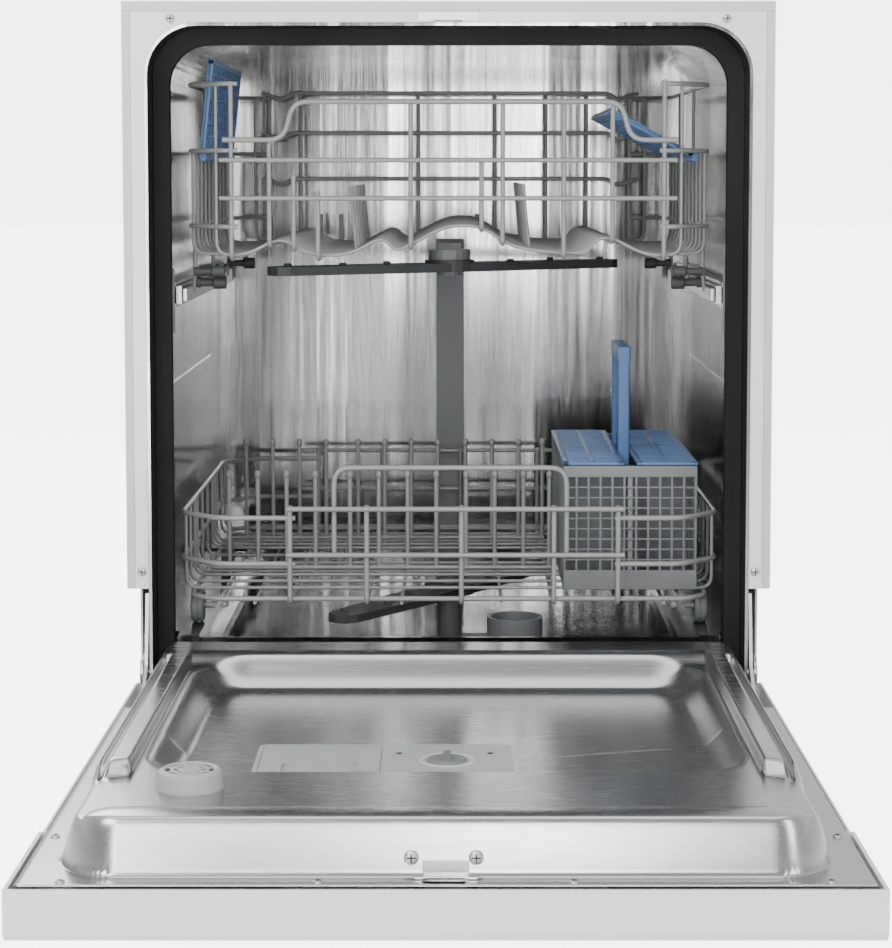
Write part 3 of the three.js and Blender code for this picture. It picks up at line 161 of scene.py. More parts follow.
# ---------------------------------------------------------------- materials
def material(name, color, rough, metal=0.0, stretch=(1, 1, 1), grain=900, bump=0.05, tone=0.05,
             rough_spread=0.06, wave=0.0, coat=0.0, drift=(1, 1, 1), shine=0.5):
    """Fine grain in the bump and roughness, cloudy changes of colour, and an optional slow wave in the surface.

    stretch scales the grain and drift scales the clouds, per axis. tone and rough_spread say how much they vary. A
    large tone paints streaks of reflection into the colour."""
    mat = bpy.data.materials.new(name)
    mat.use_nodes = True
    nodes, links = mat.node_tree.nodes, mat.node_tree.links
    shader = nodes["Principled BSDF"]
    shader.inputs["Metallic"].default_value = metal
    shader.inputs["Coat Weight"].default_value = coat
    shader.inputs["Specular IOR Level"].default_value = shine
    coords = nodes.new("ShaderNodeTexCoord")
    mapping = nodes.new("ShaderNodeMapping")
    mapping.inputs["Scale"].default_value = stretch
    links.new(coords.outputs["Object"], mapping.inputs["Vector"])
    fine = nodes.new("ShaderNodeTexNoise")
    fine.inputs["Scale"].default_value = grain
    fine.inputs["Detail"].default_value = 3
    links.new(mapping.outputs["Vector"], fine.inputs["Vector"])
    cloud = nodes.new("ShaderNodeTexNoise")
    cloud.inputs["Scale"].default_value = 7
    cloud.inputs["Detail"].default_value = 4
    drifting = nodes.new("ShaderNodeMapping")
    drifting.inputs["Scale"].default_value = drift
    links.new(coords.outputs["Object"], drifting.inputs["Vector"])
    links.new(drifting.outputs["Vector"], cloud.inputs["Vector"])
    ramp = nodes.new("ShaderNodeValToRGB")
    ramp.color_ramp.elements[0].position = 0.3
    ramp.color_ramp.elements[1].position = 0.7
    ramp.color_ramp.elements[0].color = [c * (1 - tone) for c in color] + [1]
    ramp.color_ramp.elements[1].color = [min(1, c * (1 + tone)) for c in color] + [1]
    links.new(cloud.outputs["Fac"], ramp.inputs["Fac"])
    links.new(ramp.outputs["Color"], shader.inputs["Base Color"])
    spread = nodes.new("ShaderNodeMapRange")
    spread.inputs["From Min"].default_value, spread.inputs["From Max"].default_value = 0.3, 0.7
    spread.inputs["To Min"].default_value = max(0.02, rough - rough_spread)
    spread.inputs["To Max"].default_value = rough + rough_spread
    links.new(fine.outputs["Fac"], spread.inputs["Value"])
    links.new(spread.outputs["Result"], shader.inputs["Roughness"])
    relief = nodes.new("ShaderNodeBump")
    relief.inputs["Strength"].default_value = bump
    relief.inputs["Distance"].default_value = 0.0004
    links.new(fine.outputs["Fac"], relief.inputs["Height"])
    links.new(relief.outputs["Normal"], shader.inputs["Normal"])
    if wave:
        slow = nodes.new("ShaderNodeBump")
        slow.inputs["Strength"].default_value = wave
        slow.inputs["Distance"].default_value = 0.01
        links.new(cloud.outputs["Fac"], slow.inputs["Height"])
        links.new(slow.outputs["Normal"], relief.inputs["Normal"])
    return mat


MATERIALS = {
    "white_enamel": material("white_enamel", (0.80, 0.81, 0.80), 0.32, grain=2500, bump=0.04, tone=0.015, coat=0.3),
    "grey_sheet": material("grey_sheet", (0.56, 0.57, 0.57), 0.42, 0.25, grain=1800, bump=0.06, tone=0.03),
    # tub_steel's strong cloudy tone, stretched up the walls by its drift, paints light and dark streaks of
    # reflection into the steel's colour.
    "tub_steel": material("tub_steel", (0.31, 0.31, 0.305), 0.15, 1.0, stretch=(1, 1, 0.02), grain=1400, bump=0.03,
                          tone=0.42, rough_spread=0.05, wave=0.3, drift=(1.6, 0.6, 0.07)),
    "liner_steel": material("liner_steel", (0.52, 0.52, 0.515), 0.25, 1.0, stretch=(0.02, 1, 1), grain=1500,
                            bump=0.018, tone=0.03, rough_spread=0.03, wave=0.03, drift=(1, 0.15, 1)),
    "zinc_steel": material("zinc_steel", (0.55, 0.56, 0.57), 0.35, 1.0, grain=1200, bump=0.05, tone=0.08),
    "rubber": material("rubber", (0.018, 0.018, 0.019), 0.7, grain=1600, bump=0.15, tone=0.2, shine=0.12),
    "rack_wire": material("rack_wire", (0.27, 0.28, 0.27), 0.33, grain=900, bump=0.06, tone=0.05, coat=0.2),
    "dark_plastic": material("dark_plastic", (0.055, 0.058, 0.06), 0.5, grain=2200, bump=0.18, tone=0.12, shine=0.3),
    "grey_plastic": material("grey_plastic", (0.165, 0.178, 0.183), 0.45, grain=2000, bump=0.15, tone=0.06),
    "pale_plastic": material("pale_plastic", (0.38, 0.39, 0.39), 0.42, grain=2000, bump=0.12, tone=0.04),
    "blue_plastic": material("blue_plastic", (0.07, 0.165, 0.36), 0.42, grain=1800, bump=0.1, tone=0.06),
    "white_plastic": material("white_plastic", (0.72, 0.72, 0.69), 0.4, grain=1800, bump=0.1, tone=0.04),
}
SLOT_OF = {part["node"]: part["material_slot"] for part in frame["record"]["subparts"]}


# ---------------------------------------------------------------- making pieces
def shaded(obj):
    for face in obj.data.polygons:
        face.use_smooth = True


def keep(obj, body, slot, *replaced):
    """Finishes a new piece: its material, its body and the CAD nodes that it stands for."""
    obj.data.materials.clear()
    obj.data.materials.append(MATERIALS[slot])
    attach(obj, body)
    if replaced:
        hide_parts(*replaced)
    return obj


def from_bmesh(name, bm, smooth=True):
    bmesh.ops.recalc_face_normals(bm, faces=bm.faces)
    mesh = bpy.data.meshes.new(name)
    bm.to_mesh(mesh)
    bm.free()
    obj = bpy.data.objects.new(name, mesh)
    bpy.context.scene.collection.objects.link(obj)
    if smooth:
        shaded(obj)
    return obj


def rounded_off(obj, width=0.8, segments=2, flat=False):
    """Edges bevelled, with coplanar triangles merged first on a CAD node."""
    if flat:
        merge = obj.modifiers.new("merge", "DECIMATE")
        merge.decimate_type = "DISSOLVE"
        merge.angle_limit = math.radians(1)
    bevel = obj.modifiers.new("bevel", "BEVEL")
    bevel.width = width * MM
    bevel.segments = segments
    bevel.limit_method = "ANGLE"
    bevel.angle_limit = math.radians(35)
    weigh = obj.modifiers.new("weigh", "WEIGHTED_NORMAL")
    weigh.keep_sharp = True
    shaded(obj)
    return obj


def bent(corners, radius, steps=5, closed=False):
    """The polyline with its corners bent to a radius."""
    points = [Vector(c) for c in corners]
    count = len(points)
    path = []
    for i, corner in enumerate(points):
        if not closed and i in (0, count - 1):
            path.append(corner)
            continue
        into = corner - points[i - 1]
        out = points[(i + 1) % count] - corner
        reach = min(radius, into.length * 0.48, out.length * 0.48)
        start, end = corner - into.normalized() * reach, corner + out.normalized() * reach
        for k in range(steps + 1):
            t = k / steps
            path.append(start.lerp(corner, t).lerp(corner.lerp(end, t), t))
    return path


def wires(name, runs, body, slot, *replaced):
    """One curve object of round wires. Each run is (corners in mm, wire radius, bend radius, closed)."""
    curve = bpy.data.curves.new(name, "CURVE")
    curve.dimensions = "3D"
    curve.bevel_depth = MM
    curve.bevel_resolution = 2
    curve.use_fill_caps = True
    for corners, thick, bend, closed in runs:
        path = bent(corners, bend, closed=closed) if bend else [Vector(c) for c in corners]
        spline = curve.splines.new("POLY")
        spline.points.add(len(path) - 1)
        for point, place in zip(spline.points, path):
            point.co = (*(place * MM), 1)
            point.radius = thick
        spline.use_cyclic_u = closed
    obj = bpy.data.objects.new(name, curve)
    bpy.context.scene.collection.objects.link(obj)
    return keep(obj, body, slot, *replaced)


def add_box(bm, x0, x1, y0, y1, z0, z1):
    made = bmesh.ops.create_cube(bm, size=1)["verts"]
    bmesh.ops.scale(bm, vec=at(x1 - x0, y1 - y0, z1 - z0), verts=made)
    bmesh.ops.translate(bm, vec=at((x0 + x1) / 2, (y0 + y1) / 2, (z0 + z1) / 2), verts=made)


def add_turned(bm, profile, centre, sides=48, axis="z"):
    """A solid turned from [radius, height] points. They start and end on the axis, or go round a bore."""
    rings = []
    for radius, height in profile:
        ring = []
        for k in range(sides if radius else 1):
            a = 2 * math.pi * k / sides
            u, v = radius * math.cos(a), radius * math.sin(a)
            local = {"z": (u, v, height), "x": (height, u, v), "y": (v, height, u)}[axis]
            ring.append(bm.verts.new((Vector(local) + Vector(centre)) * MM))
        rings.append(ring)
    if profile[0][0]:
        rings.append(rings[0])
    for low, high in zip(rings, rings[1:]):
        for k in range(sides):
            corners = [low[k % len(low)], low[(k + 1) % len(low)], high[(k + 1) % len(high)], high[k % len(high)]]
            bm.faces.new(list(dict.fromkeys(corners)))


def turned(name, profile, centre, body, slot, *replaced, sides=48, axis="z"):
    bm = bmesh.new()
    add_turned(bm, profile, centre, sides, axis)
    return keep(rounded_off(from_bmesh(name, bm), 0.4, 1), body, slot, *replaced)


# ---------------------------------------------------------------- racks
def chamfered(half, front, back, cut, z):
    """Corners of a closed wire loop with its four corners cut off."""
    return [(-half, front + cut, z), (-half + cut, front, z), (half - cut, front, z), (half, front + cut, z),
            (half, back - cut, z), (half - cut, back, z), (-half + cut, back, z), (-half, back - cut, z)]


WIRE, THIN = 2.3, 1.7  # wire radii
# U_ is the upper rack and L_ the lower one, in millimetres. CUT is what is cut off the corners of their plans.
U_HALF, U_FRONT, U_BACK, U_FLOOR, U_RIM = 249, FRONT + 62, FRONT + 525, 629, 791
U_CUT = 34
# The wave across the upper rack's floor: x, and height over U_FLOOR.
WAVE = [(-193, 0), (-160, 17), (-133, 0), (-96, 0), (-63, 17), (-50, 3), (-2, 28), (30, 28), (60, 8), (100, 2),
        (130, 2), (142, 16), (156, 16), (187, 0)]
U_BANDS = [U_RIM, 728, 656]  # heights of the wires round the sides
U_CROSS = 13  # wires across the floor
U_LENGTHWISE = [(-206, 793), (-170, 740), (-147, 704), (-124, 690), (-36, 774), (31, 719), (51, 774), (109, 774),
                (155, 774), (204, 795)]  # wires from front to back: x, top at the front
U_LOW_BEHIND = (-147, -124, 31)  # those that stop low at the back
U_BACK_TOP, U_BACK_LOW = 797, 660
CUP_POSTS_X, CUP_POST_PITCH, CUP_POST_HIGH, CUP_POST_LEAN = (-90, 78), 66, 62, -6


def wave_at(x):
    """Height of the wave over the upper rack's floor."""
    for (x0, z0), (x1, z1) in zip(WAVE, WAVE[1:]):
        if x0 <= x <= x1:
            return z0 + (z1 - z0) * (x - x0) / (x1 - x0)
    return 0


def upper_rack():
    """Side bands, a raised grip in front, wires both ways along a waved floor, and hangers."""
    front, back = U_FRONT, U_BACK
    runs = []
    for side in (-1, 1):
        for z in U_BANDS:  # side bands that turn round the corners and stop
            corners = [(200, front, z), (U_HALF - U_CUT, front, z), (U_HALF, front + U_CUT, z),
                       (U_HALF, back - U_CUT, z), (U_HALF - U_CUT, back, z), (205, back, z)]
            runs.append(([(side * x, y, z) for x, y, z in corners], WIRE, 12, False))
    grip = [(-214, 738), (-156, 738), (-147, 774), (163, 774), (172, 738), (216, 738)]
    runs.append(([(x, front - 4, z) for x, z in grip], WIRE + 0.3, 14, False))
    for z in (719, 683):
        runs.append(([(-217, front - 4, z), (216, front - 4, z)], WIRE, 0, False))
    for z in (797, 752, 700):
        runs.append(([(-214, back - 3, z), (-190, back - 3, z - 8), (-180, back - 3, z), (180, back - 3, z),
                      (190, back - 3, z - 8), (214, back - 3, z)], WIRE, 8, False))
    for x, top in U_LENGTHWISE:  # turned up at both ends
        floor = U_FLOOR + wave_at(x) - 3.6
        rear = U_BACK_LOW if x in U_LOW_BEHIND else U_BACK_TOP
        runs.append(([(x, front - 1, top), (x, front - 1, floor), (x, back + 1, floor), (x, back + 1, rear)],
                     WIRE, 9, False))
    for k in range(U_CROSS):  # wires across, following the floor's wave and turned up at the sides
        y = front + 8 + (back - front - 16) * k / (U_CROSS - 1)
        edge = U_HALF - 2 - (U_CUT - 8 if k in (0, U_CROSS - 1) else 0)
        floor = [(-edge, y, U_BANDS[1] if k % 4 else U_RIM), (-edge, y, U_FLOOR)]
        floor += [(x, y, U_FLOOR + z) for x, z in WAVE]
        floor += [(edge, y, U_FLOOR), (edge, y, U_BANDS[1] if k % 4 else U_RIM)]
        runs.append((floor, THIN, 13, False))
    for x in CUP_POSTS_X:
        for y in range(int(front) + 60, int(back) - 40, CUP_POST_PITCH):
            z = U_FLOOR + wave_at(x)
            runs.append(([(x, y, z), (x + CUP_POST_LEAN, y, z + CUP_POST_HIGH)], THIN, 0, False))
    for side in (-1, 1):  # hangers down to the rails
        for y in (front + 60, (front + back) / 2, back - 60):
            corners = [(side * 247, y, U_FLOOR + 12), (side * 247, y, 605), (side * 249.5, y, 592)]
            runs.append((corners, WIRE, 6, False))
    return wires("upper_rack_wires", runs, "upper_rack", "rack_wire", "upper_rack")


def rack_rails():
    """The rails on the upper rack's own sides."""
    bm = bmesh.new()
    for side in (-1, 1):
        x0, x1 = sorted((side * 248.5, side * 253.8))
        add_box(bm, x0, x1, UPPER[2] + 6, UPPER[3] - 6, 584.5, 597.5)
    return keep(rounded_off(from_bmesh("rack_rails", bm), 1.2, 2), "upper_rack", "zinc_steel")


L_HALF, L_FRONT, L_BACK, L_FLOOR = 257, FRONT + 45, FRONT + 520, 301
L_CUT = 38
L_CROSS = (92, 130, 168, 190, 240, 290, 340, 365, 390, 440, 480)  # wires across, back from the flange
TINES_X = [-222, -193, -164, -135, -100, -71, -42, -13, 17, 46, 75, 101]
TINE_ROWS = ((190, 405), (390, 415))  # how far back from the flange, and the height of the tips
TINE_LEAN = -5
AXLE_Z, AXLES_Y = 284.3, (112, 420)


def lower_rack():
    """Side bands, a raised grip in front, a floor of wires both ways, two rows of tines and the axles."""
    front, back = L_FRONT, L_BACK
    runs = []
    for side in (-1, 1):
        for z in (380, 336):
            end = 146 if side < 0 else 158
            corners = [(end, front, z), (L_HALF - L_CUT, front, z), (L_HALF, front + L_CUT, z),
                       (L_HALF, back - L_CUT, z), (L_HALF - L_CUT, back, z), (150, back, z)]
            runs.append(([(side * x, y, z) for x, y, z in corners], WIRE + 0.2, 10, False))
    for z in (389, 345):
        runs.append(([(-154, front - 4, z), (167, front - 4, z)], WIRE + 0.2, 0, False))
        runs.append(([(-170, back + 3, z), (170, back + 3, z)], WIRE, 0, False))
    runs.append(([(-109, front + 1, 343), (-109, front + 1, 428), (112, front + 1, 428), (112, front + 1, 343)],
                 WIRE + 0.2, 16, False))
    runs.append((chamfered(L_HALF - 10, front + 3, back - 3, 22, L_FLOOR + 1), WIRE + 0.2, 10, True))
    for x in (-151, -78, 12, 100, 161):
        corners = [(x, front - 1, 392), (x, front - 1, L_FLOOR - 3), (x, back + 1, L_FLOOR - 3), (x, back + 1, 392)]
        runs.append((corners, WIRE + 0.2, 8, False))
    for x in (-218, -185, -116, -45, 50, 205):
        runs.append(([(x, front + 3, L_FLOOR - 3), (x, back - 3, L_FLOOR - 3)], THIN, 0, False))
    for y in L_CROSS:
        runs.append(([(-L_HALF + 2, FRONT + y, 381), (-L_HALF + 2, FRONT + y, L_FLOOR + 4),
                      (L_HALF - 2, FRONT + y, L_FLOOR + 4), (L_HALF - 2, FRONT + y, 381)], THIN, 12, False))
    for y, top in TINE_ROWS:
        for x in TINES_X:
            runs.append(([(x, FRONT + y, L_FLOOR), (x, FRONT + y + TINE_LEAN, top)], WIRE, 0, False))
        runs.append(([(-240, FRONT + y - 2, L_FLOOR + 8), (103, FRONT + y - 2, L_FLOOR + 8)], WIRE, 0, False))
    for side in (-1, 1):  # wheel axles
        for y in AXLES_Y:
            runs.append(([(side * 230, FRONT + y, AXLE_Z), (side * 252, FRONT + y, AXLE_Z)], 2.9, 0, False))
    return wires("lower_rack_wires", runs, "lower_rack", "rack_wire", "lower_rack")


def tine_beads():
    """Rounded tips on the tines and small feet under the front of the rack."""
    bm = bmesh.new()
    for y, top in TINE_ROWS:
        for x in TINES_X:
            tip = (x, FRONT + y + TINE_LEAN, top)
            add_turned(bm, [[0, -5], [3.1, -4.5], [3.3, 0], [2.4, 2.4], [0, 3.2]], tip, 12)
    for x in (-215, 215):
        for y in (55, 500):
            add_turned(bm, [[0, -9], [3.5, -8], [4.6, -4], [3, 0], [0, 1]], (x, FRONT + y, L_FLOOR), 14)
    return keep(from_bmesh("tine_tips", bm), "lower_rack", "rack_wire")


def wheel(name):
    """A grooved tyre on a bored hub, with five bosses in its web."""
    x0, x1, y0, y1, z0, z1 = edges(name)
    centre = ((x0 + x1) / 2, (y0 + y1) / 2, (z0 + z1) / 2)
    half, r = (x1 - x0) / 2, (z1 - z0) / 2
    bm = bmesh.new()
    profile = [[3.4, -half], [5, -half], [5, -half + 2], [r - 4, -half + 2], [r - 4, -half], [r - 1, -half],
               [r, -half + 2], [r, -1], [r - 0.8, 0], [r, 1], [r, half - 2], [r - 1, half], [r - 4, half],
               [r - 4, half - 2], [5, half - 2], [5, half], [3.4, half]]
    add_turned(bm, profile, centre, 40, "x")
    for k in range(5):
        a = 2 * math.pi * k / 5
        y, z = centre[1] + 8.2 * math.cos(a), centre[2] + 8.2 * math.sin(a)
        add_turned(bm, [[0, -half + 0.6], [1.7, -half + 0.6], [1.7, half - 0.6], [0, half - 0.6]],
                   (centre[0], y, z), 10, "x")
    obj = from_bmesh(name + "_tyre", bm)
    return keep(rounded_off(obj, 0.4, 1), name, "grey_plastic", name)


# ---------------------------------------------------------------- cutlery basket
def basket():
    """Open-grid walls, partitions, a slatted floor and the carrying handle."""
    x0, x1, y0, y1 = 110.5, 239.5, FRONT + 78.5, FRONT + 369.5
    low, high = 305.3, 425.7
    bm = bmesh.new()

    def wall(along_x, place, start, end, columns):
        def slab(a0, a1, z0, z1, thick):
            b0, b1 = place - thick / 2, place + thick / 2
            add_box(bm, *((a0, a1, b0, b1) if along_x else (b0, b1, a0, a1)), z0, z1)
        slab(start, end, high - 11, high, 3.0)
        slab(start, end, low, low + 19, 3.0)
        for k in range(columns + 1):
            a = start + 1.2 + (end - start - 2.4) * k / columns
            slab(a - 1.2, a + 1.2, low + 18.5, high - 10.5, 2.6)
        for k in range(1, 9):
            z = low + 19 + (high - low - 30) * k / 9
            slab(start, end, z - 0.9, z + 0.9, 2.0)

    wall(True, y0 + 1.5, x0, x1, 11)
    wall(True, y1 - 1.5, x0, x1, 11)
    wall(False, x0 + 1.5, y0 + 1, y1 - 1, 24)
    wall(False, x1 - 1.5, y0 + 1, y1 - 1, 24)
    add_box(bm, 172.5, 177.5, y0 + 2, y1 - 2, low + 1, high - 10)
    for k in range(1, 4):
        add_box(bm, x0 + 2, x1 - 2, FRONT + 78 + 73 * k - 1.2, FRONT + 78 + 73 * k + 1.2, low + 1, high - 14)
    for k in range(22):  # slatted floor
        y = y0 + 4 + (y1 - y0 - 8) * k / 21
        add_box(bm, x0 + 1, x1 - 1, y - 2.2, y + 2.2, low, low + 2.5)
    keep(rounded_off(from_bmesh("basket_grid", bm), 0.5, 1), "cutlery_basket", "grey_plastic", "cutlery_basket")

    bm = bmesh.new()  # carrying handle
    mid = FRONT + 224
    for y in (mid - 43, mid + 43):
        add_box(bm, 169, 181, y - 5, y + 5, high - 30, 522)
    add_box(bm, 168, 182, mid - 48, mid + 48, 519, 534)
    add_box(bm, 173, 177, mid - 39, mid + 39, high - 12, 437)
    keep(rounded_off(from_bmesh("basket_handle", bm), 2.6, 3), "cutlery_basket", "blue_plastic")


def flap(name):
    """A slatted lid half with a rim."""
    x0, x1, y0, y1, z0, z1 = edges(name)
    bm = bmesh.new()
    add_box(bm, x0, x1, y0, y0 + 7, z0, z1)
    add_box(bm, x0, x1, y1 - 7, y1, z0, z1)
    add_box(bm, x0, x0 + 6, y0, y1, z0, z1)
    add_box(bm, x1 - 6, x1, y0, y1, z0, z1)
    middle = (x0 + x1) / 2
    add_box(bm, middle - 2, middle + 2, y0 + 1, y1 - 1, z0, z1)
    for k in range(1, 20):
        y = y0 + 5 + (y1 - y0 - 10) * k / 20
        add_box(bm, x0 + 1, x1 - 1, y - 2.4, y + 2.4, z0 + 0.2, z1 - 0.3)
    for k in range(1, 4):
        y = y0 + (y1 - y0) * k / 4
        add_box(bm, x0 + 1, x1 - 1, y - 5, y + 5, z0, z1)
    keep(rounded_off(from_bmesh(name + "_grid", bm), 0.5, 1), name, "blue_plastic", name)


# ---------------------------------------------------------------- cup shelves
SHELF_HINGE_X, SHELF_HINGE_Z = 238, 722
SHELF_LOW, SHELF_RAISED = 28, 84  # degrees from level, as the photograph shows the right and the left shelf


def shelf(name, side, angle):
    """Ribbed shelf that rises at an angle from its hinge line."""
    y0, y1 = edges(name)[2:4]
    lean = math.radians(angle)
    u = Vector((-side * math.cos(lean), 0, math.sin(lean)))
    n = Vector((side * math.sin(lean), 0, math.cos(lean)))
    hinge = Vector((side * SHELF_HINGE_X, 0, SHELF_HINGE_Z))
    bm = bmesh.new()

    def plank(u0, u1, v0, v1, n0, n1):
        made = bmesh.ops.create_cube(bm, size=1)["verts"]
        for vert in made:
            a = u0 if vert.co.x < 0 else u1
            b = v0 if vert.co.y < 0 else v1
            c = n0 if vert.co.z < 0 else n1
            vert.co = (hinge + u * a + n * c + Vector((0, b, 0))) * MM

    plank(4, 94, y0, y1, 0.4, 2.2)
    plank(2, 8, y0, y1, -2, 3.6)
    plank(90, 95, y0, y1, -1.8, 3.6)
    for y in (y0, y1 - 4):
        plank(3, 94, y, y + 4, -1.8, 3.6)
    for k in range(1, 7):
        plank(8 + 12 * k, 10.5 + 12 * k, y0 + 2, y1 - 2, -1.5, 3.2)
    for k in range(1, 12):
        y = y0 + (y1 - y0) * k / 12
        plank(5, 92, y - 1, y + 1, -1, 3.2)
    add_turned(bm, [[0, y0 + 2], [4.2, y0 + 2], [4.2, y1 - 2], [0, y1 - 2]], hinge, 20, "y")
    keep(rounded_off(from_bmesh(name + "_ribbed", bm), 0.5, 1), name, "blue_plastic", name)


# ---------------------------------------------------------------- gasket, vent, screws, end caps
GASKET_CORNER = 38
LIPS = ((2.3, 2.4, 2.2), (6.6, 3.1, 1.7), (10.6, 3.6, 1.9), (13, 8, 1.6))  # inset, set back, radius


def gasket():
    """Lips that run up one side of the mouth, round its corners and down the other side."""
    x0, x1, y0, y1, z0, z1 = GASKET
    runs = []
    for inset, set_back, thick in LIPS:
        y = y0 + set_back
        left, right, top = x0 + inset, x1 - inset, z1 - inset
        corners = [(left, y, z0 + 1), (left, y, top), (right, y, top), (right, y, z0 + 1)]
        runs.append((corners, thick, GASKET_CORNER - inset, False))
    return wires("gasket_lips", runs, "cabinet", "rubber")


def vent():
    """Round vent with a rolled rim, two rings and eight spokes, over a dark disc that paints the shade inside the
    vent.
    """
    x0, x1, y0, y1, z0, z1 = VENT
    centre = ((x0 + x1) / 2, (y0 + y1) / 2, 0)
    r = (x1 - x0) / 2
    bm = bmesh.new()
    add_turned(bm, [[r - 9, z0], [r, z0], [r, z0 + 3], [r - 2.5, z0 + 5], [r - 4, z1 - 4], [r - 5, z1 - 1.5],
                    [r - 7.5, z1], [r - 10, z1 - 0.6], [r - 10, z1 - 2.5], [r - 8, z1 - 4]], centre, 64)
    for inner, outer in ((11.5, 14.5), (5.5, 8.5)):
        add_turned(bm, [[inner, z1 - 2.8], [outer, z1 - 2.8], [outer, z1 - 0.7], [inner, z1 - 0.7]], centre, 48)
    add_turned(bm, [[0, z1 - 2.8], [2.8, z1 - 2.8], [2.8, z1 - 0.7], [0, z1 - 0.7]], centre, 24)
    for k in range(8):
        a = 2 * math.pi * (k + 0.5) / 8
        made = bmesh.ops.create_cube(bm, size=1)["verts"]
        for vert in made:
            along = 1.5 if vert.co.x < 0 else r - 8.5
            across = 1.1 if vert.co.y > 0 else -1.1
            z = z1 - 2.6 if vert.co.z < 0 else z1 - 0.9
            vert.co = Vector((centre[0] + along * math.cos(a) - across * math.sin(a),
                              centre[1] + along * math.sin(a) + across * math.cos(a), z)) * MM
    keep(rounded_off(from_bmesh("vent_grille", bm), 0.35, 1), "door", "pale_plastic", "vent_cap")
    # The dark disc under the spokes paints the shade seen through the vent's openings.
    turned("vent_well_painted_shade", [[0, z0 + 0.2], [r - 9.5, z0 + 0.2], [r - 9.5, z0 + 1.2], [0, z0 + 1.2]], centre, "door",
           "dark_plastic")


SCREWS = [  # place, way out, head radius, body
    ((-255, FRONT, 848), "-y", 4.2, "cabinet"), ((255, FRONT, 848), "-y", 4.2, "cabinet"),
    ((-286, FRONT, 336), "-y", 4.4, "cabinet"), ((286, FRONT, 336), "-y", 4.4, "cabinet"),
    ((-24, LINER[2] + 20.2, 235), "-y", 5.2, "door"), ((21, LINER[2] + 20.2, 235), "-y", 5.2, "door"),
]
SCREWS += [((x, LINER[2] + 7, 221.3), "+z", 3.6, "door") for x in (-265, -88, 88, 265)]
SCREWS += [((x, LINER[2] + 120, 221.3), "+z", 3.6, "door") for x in (-287, 287)]


def screws():
    """Domed heads, each with a crossed slot; dark boxes in the slot paint the shade inside it."""
    for body in ("cabinet", "door"):
        # The dark boxes stand in each head's crossed slot and paint the shade in its recess.
        heads, painted_slot_shade = bmesh.new(), bmesh.new()
        for (x, y, z), way, r, owner in SCREWS:
            if owner != body:
                continue
            dome = [[0, -0.4], [r, -0.4], [r, 0.5], [r * 0.8, 1.3], [r * 0.45, 1.75], [0, 1.9]]
            if way == "-y":
                add_turned(heads, [[a, -b] for a, b in dome], (x, y, z), 28, "y")
                for w, h in ((r * 0.62, 0.55), (0.55, r * 0.62)):
                    add_box(painted_slot_shade, x - w, x + w, y - 2.05, y - 0.9, z - h, z + h)
            else:
                add_turned(heads, dome, (x, y, z), 28)
                for w, h in ((r * 0.62, 0.5), (0.5, r * 0.62)):
                    add_box(painted_slot_shade, x - w, x + w, y - h, y + h, z + 0.9, z + 2.05)
        keep(from_bmesh(f"{body}_screw_heads", heads), body, "zinc_steel")
        keep(from_bmesh(f"{body}_screw_painted_slot_shade", painted_slot_shade, False), body, "dark_plastic")


def rail_ends():
    """End caps of the fixed tracks, and rollers under the upper rack's sides."""
    caps, rollers = bmesh.new(), bmesh.new()
    for side in (-1, 1):
        x0, x1 = sorted((side * 260.4, side * 270.6))
        add_box(caps, x0, x1, FRONT + 57, FRONT + 63.6, 555, 617)
        x0, x1 = sorted((side * 262, side * 269))
        add_box(caps, x0, x1, FRONT + 54.5, FRONT + 58, 563, 609)
        for y, z, r in ((FRONT + 76, 613, 5.5), (FRONT + 92, 602, 6.5), (FRONT + 420, 608, 6)):
            ring = [[0, side * 214], [r, side * 214], [r, side * 226], [r * 0.6, side * 227], [r * 0.6, side * 238],
                    [r * 0.8, side * 239], [r * 0.8, side * 243], [0, side * 243]]
            add_turned(rollers, ring, (0, y, z), 24, "x")
    keep(rounded_off(from_bmesh("rail_end_caps", caps), 1.6, 3), "cabinet", "grey_plastic")
    keep(rounded_off(from_bmesh("height_rollers", rollers), 0.5, 1), "upper_rack", "dark_plastic")


# ---------------------------------------------------------------- door liner
def ease(edge0, edge1, value):
    """0 at edge0, 1 at edge1, and smooth between them."""
    t = min(1, max(0, (value - edge0) / (edge1 - edge0)))
    return t * t * (3 - 2 * t)


def depth_inside(x, y, half, y0, y1, corner):
    """How far a point lies inside a rectangle with rounded corners, centred on x = 0."""
    dx = abs(x) - (half - corner)
    dy = abs(y - (y0 + y1) / 2) - ((y1 - y0) / 2 - corner)
    outside = math.hypot(max(dx, 0), max(dy, 0)) + min(max(dx, dy), 0)
    return corner - outside


LINER_HALF, LINER_Y0, LINER_Y1 = 271.6, FRONT - 588.4, FRONT + 12
LINER_CORNER, LINER_WALL = 44, 12
FLANGE_TOP, PLATFORM, LEDGE, BASIN = 221.3, 256, 267.5, 236  # heights
BEAD_HALF, BEAD_Y0, BEAD_Y1, BEAD_ROUND, BEAD_HIGH = 254, FRONT - 585, FRONT - 541, 21.9, 6.5
BASIN_HALF, BASIN_Y0, BASIN_Y1, BASIN_CORNER, BASIN_WALL = 234, FRONT - 432, FRONT - 34, 52, 27
SPLASH_STEP = 3.2  # how far the basin's floor rises in front of its curved step


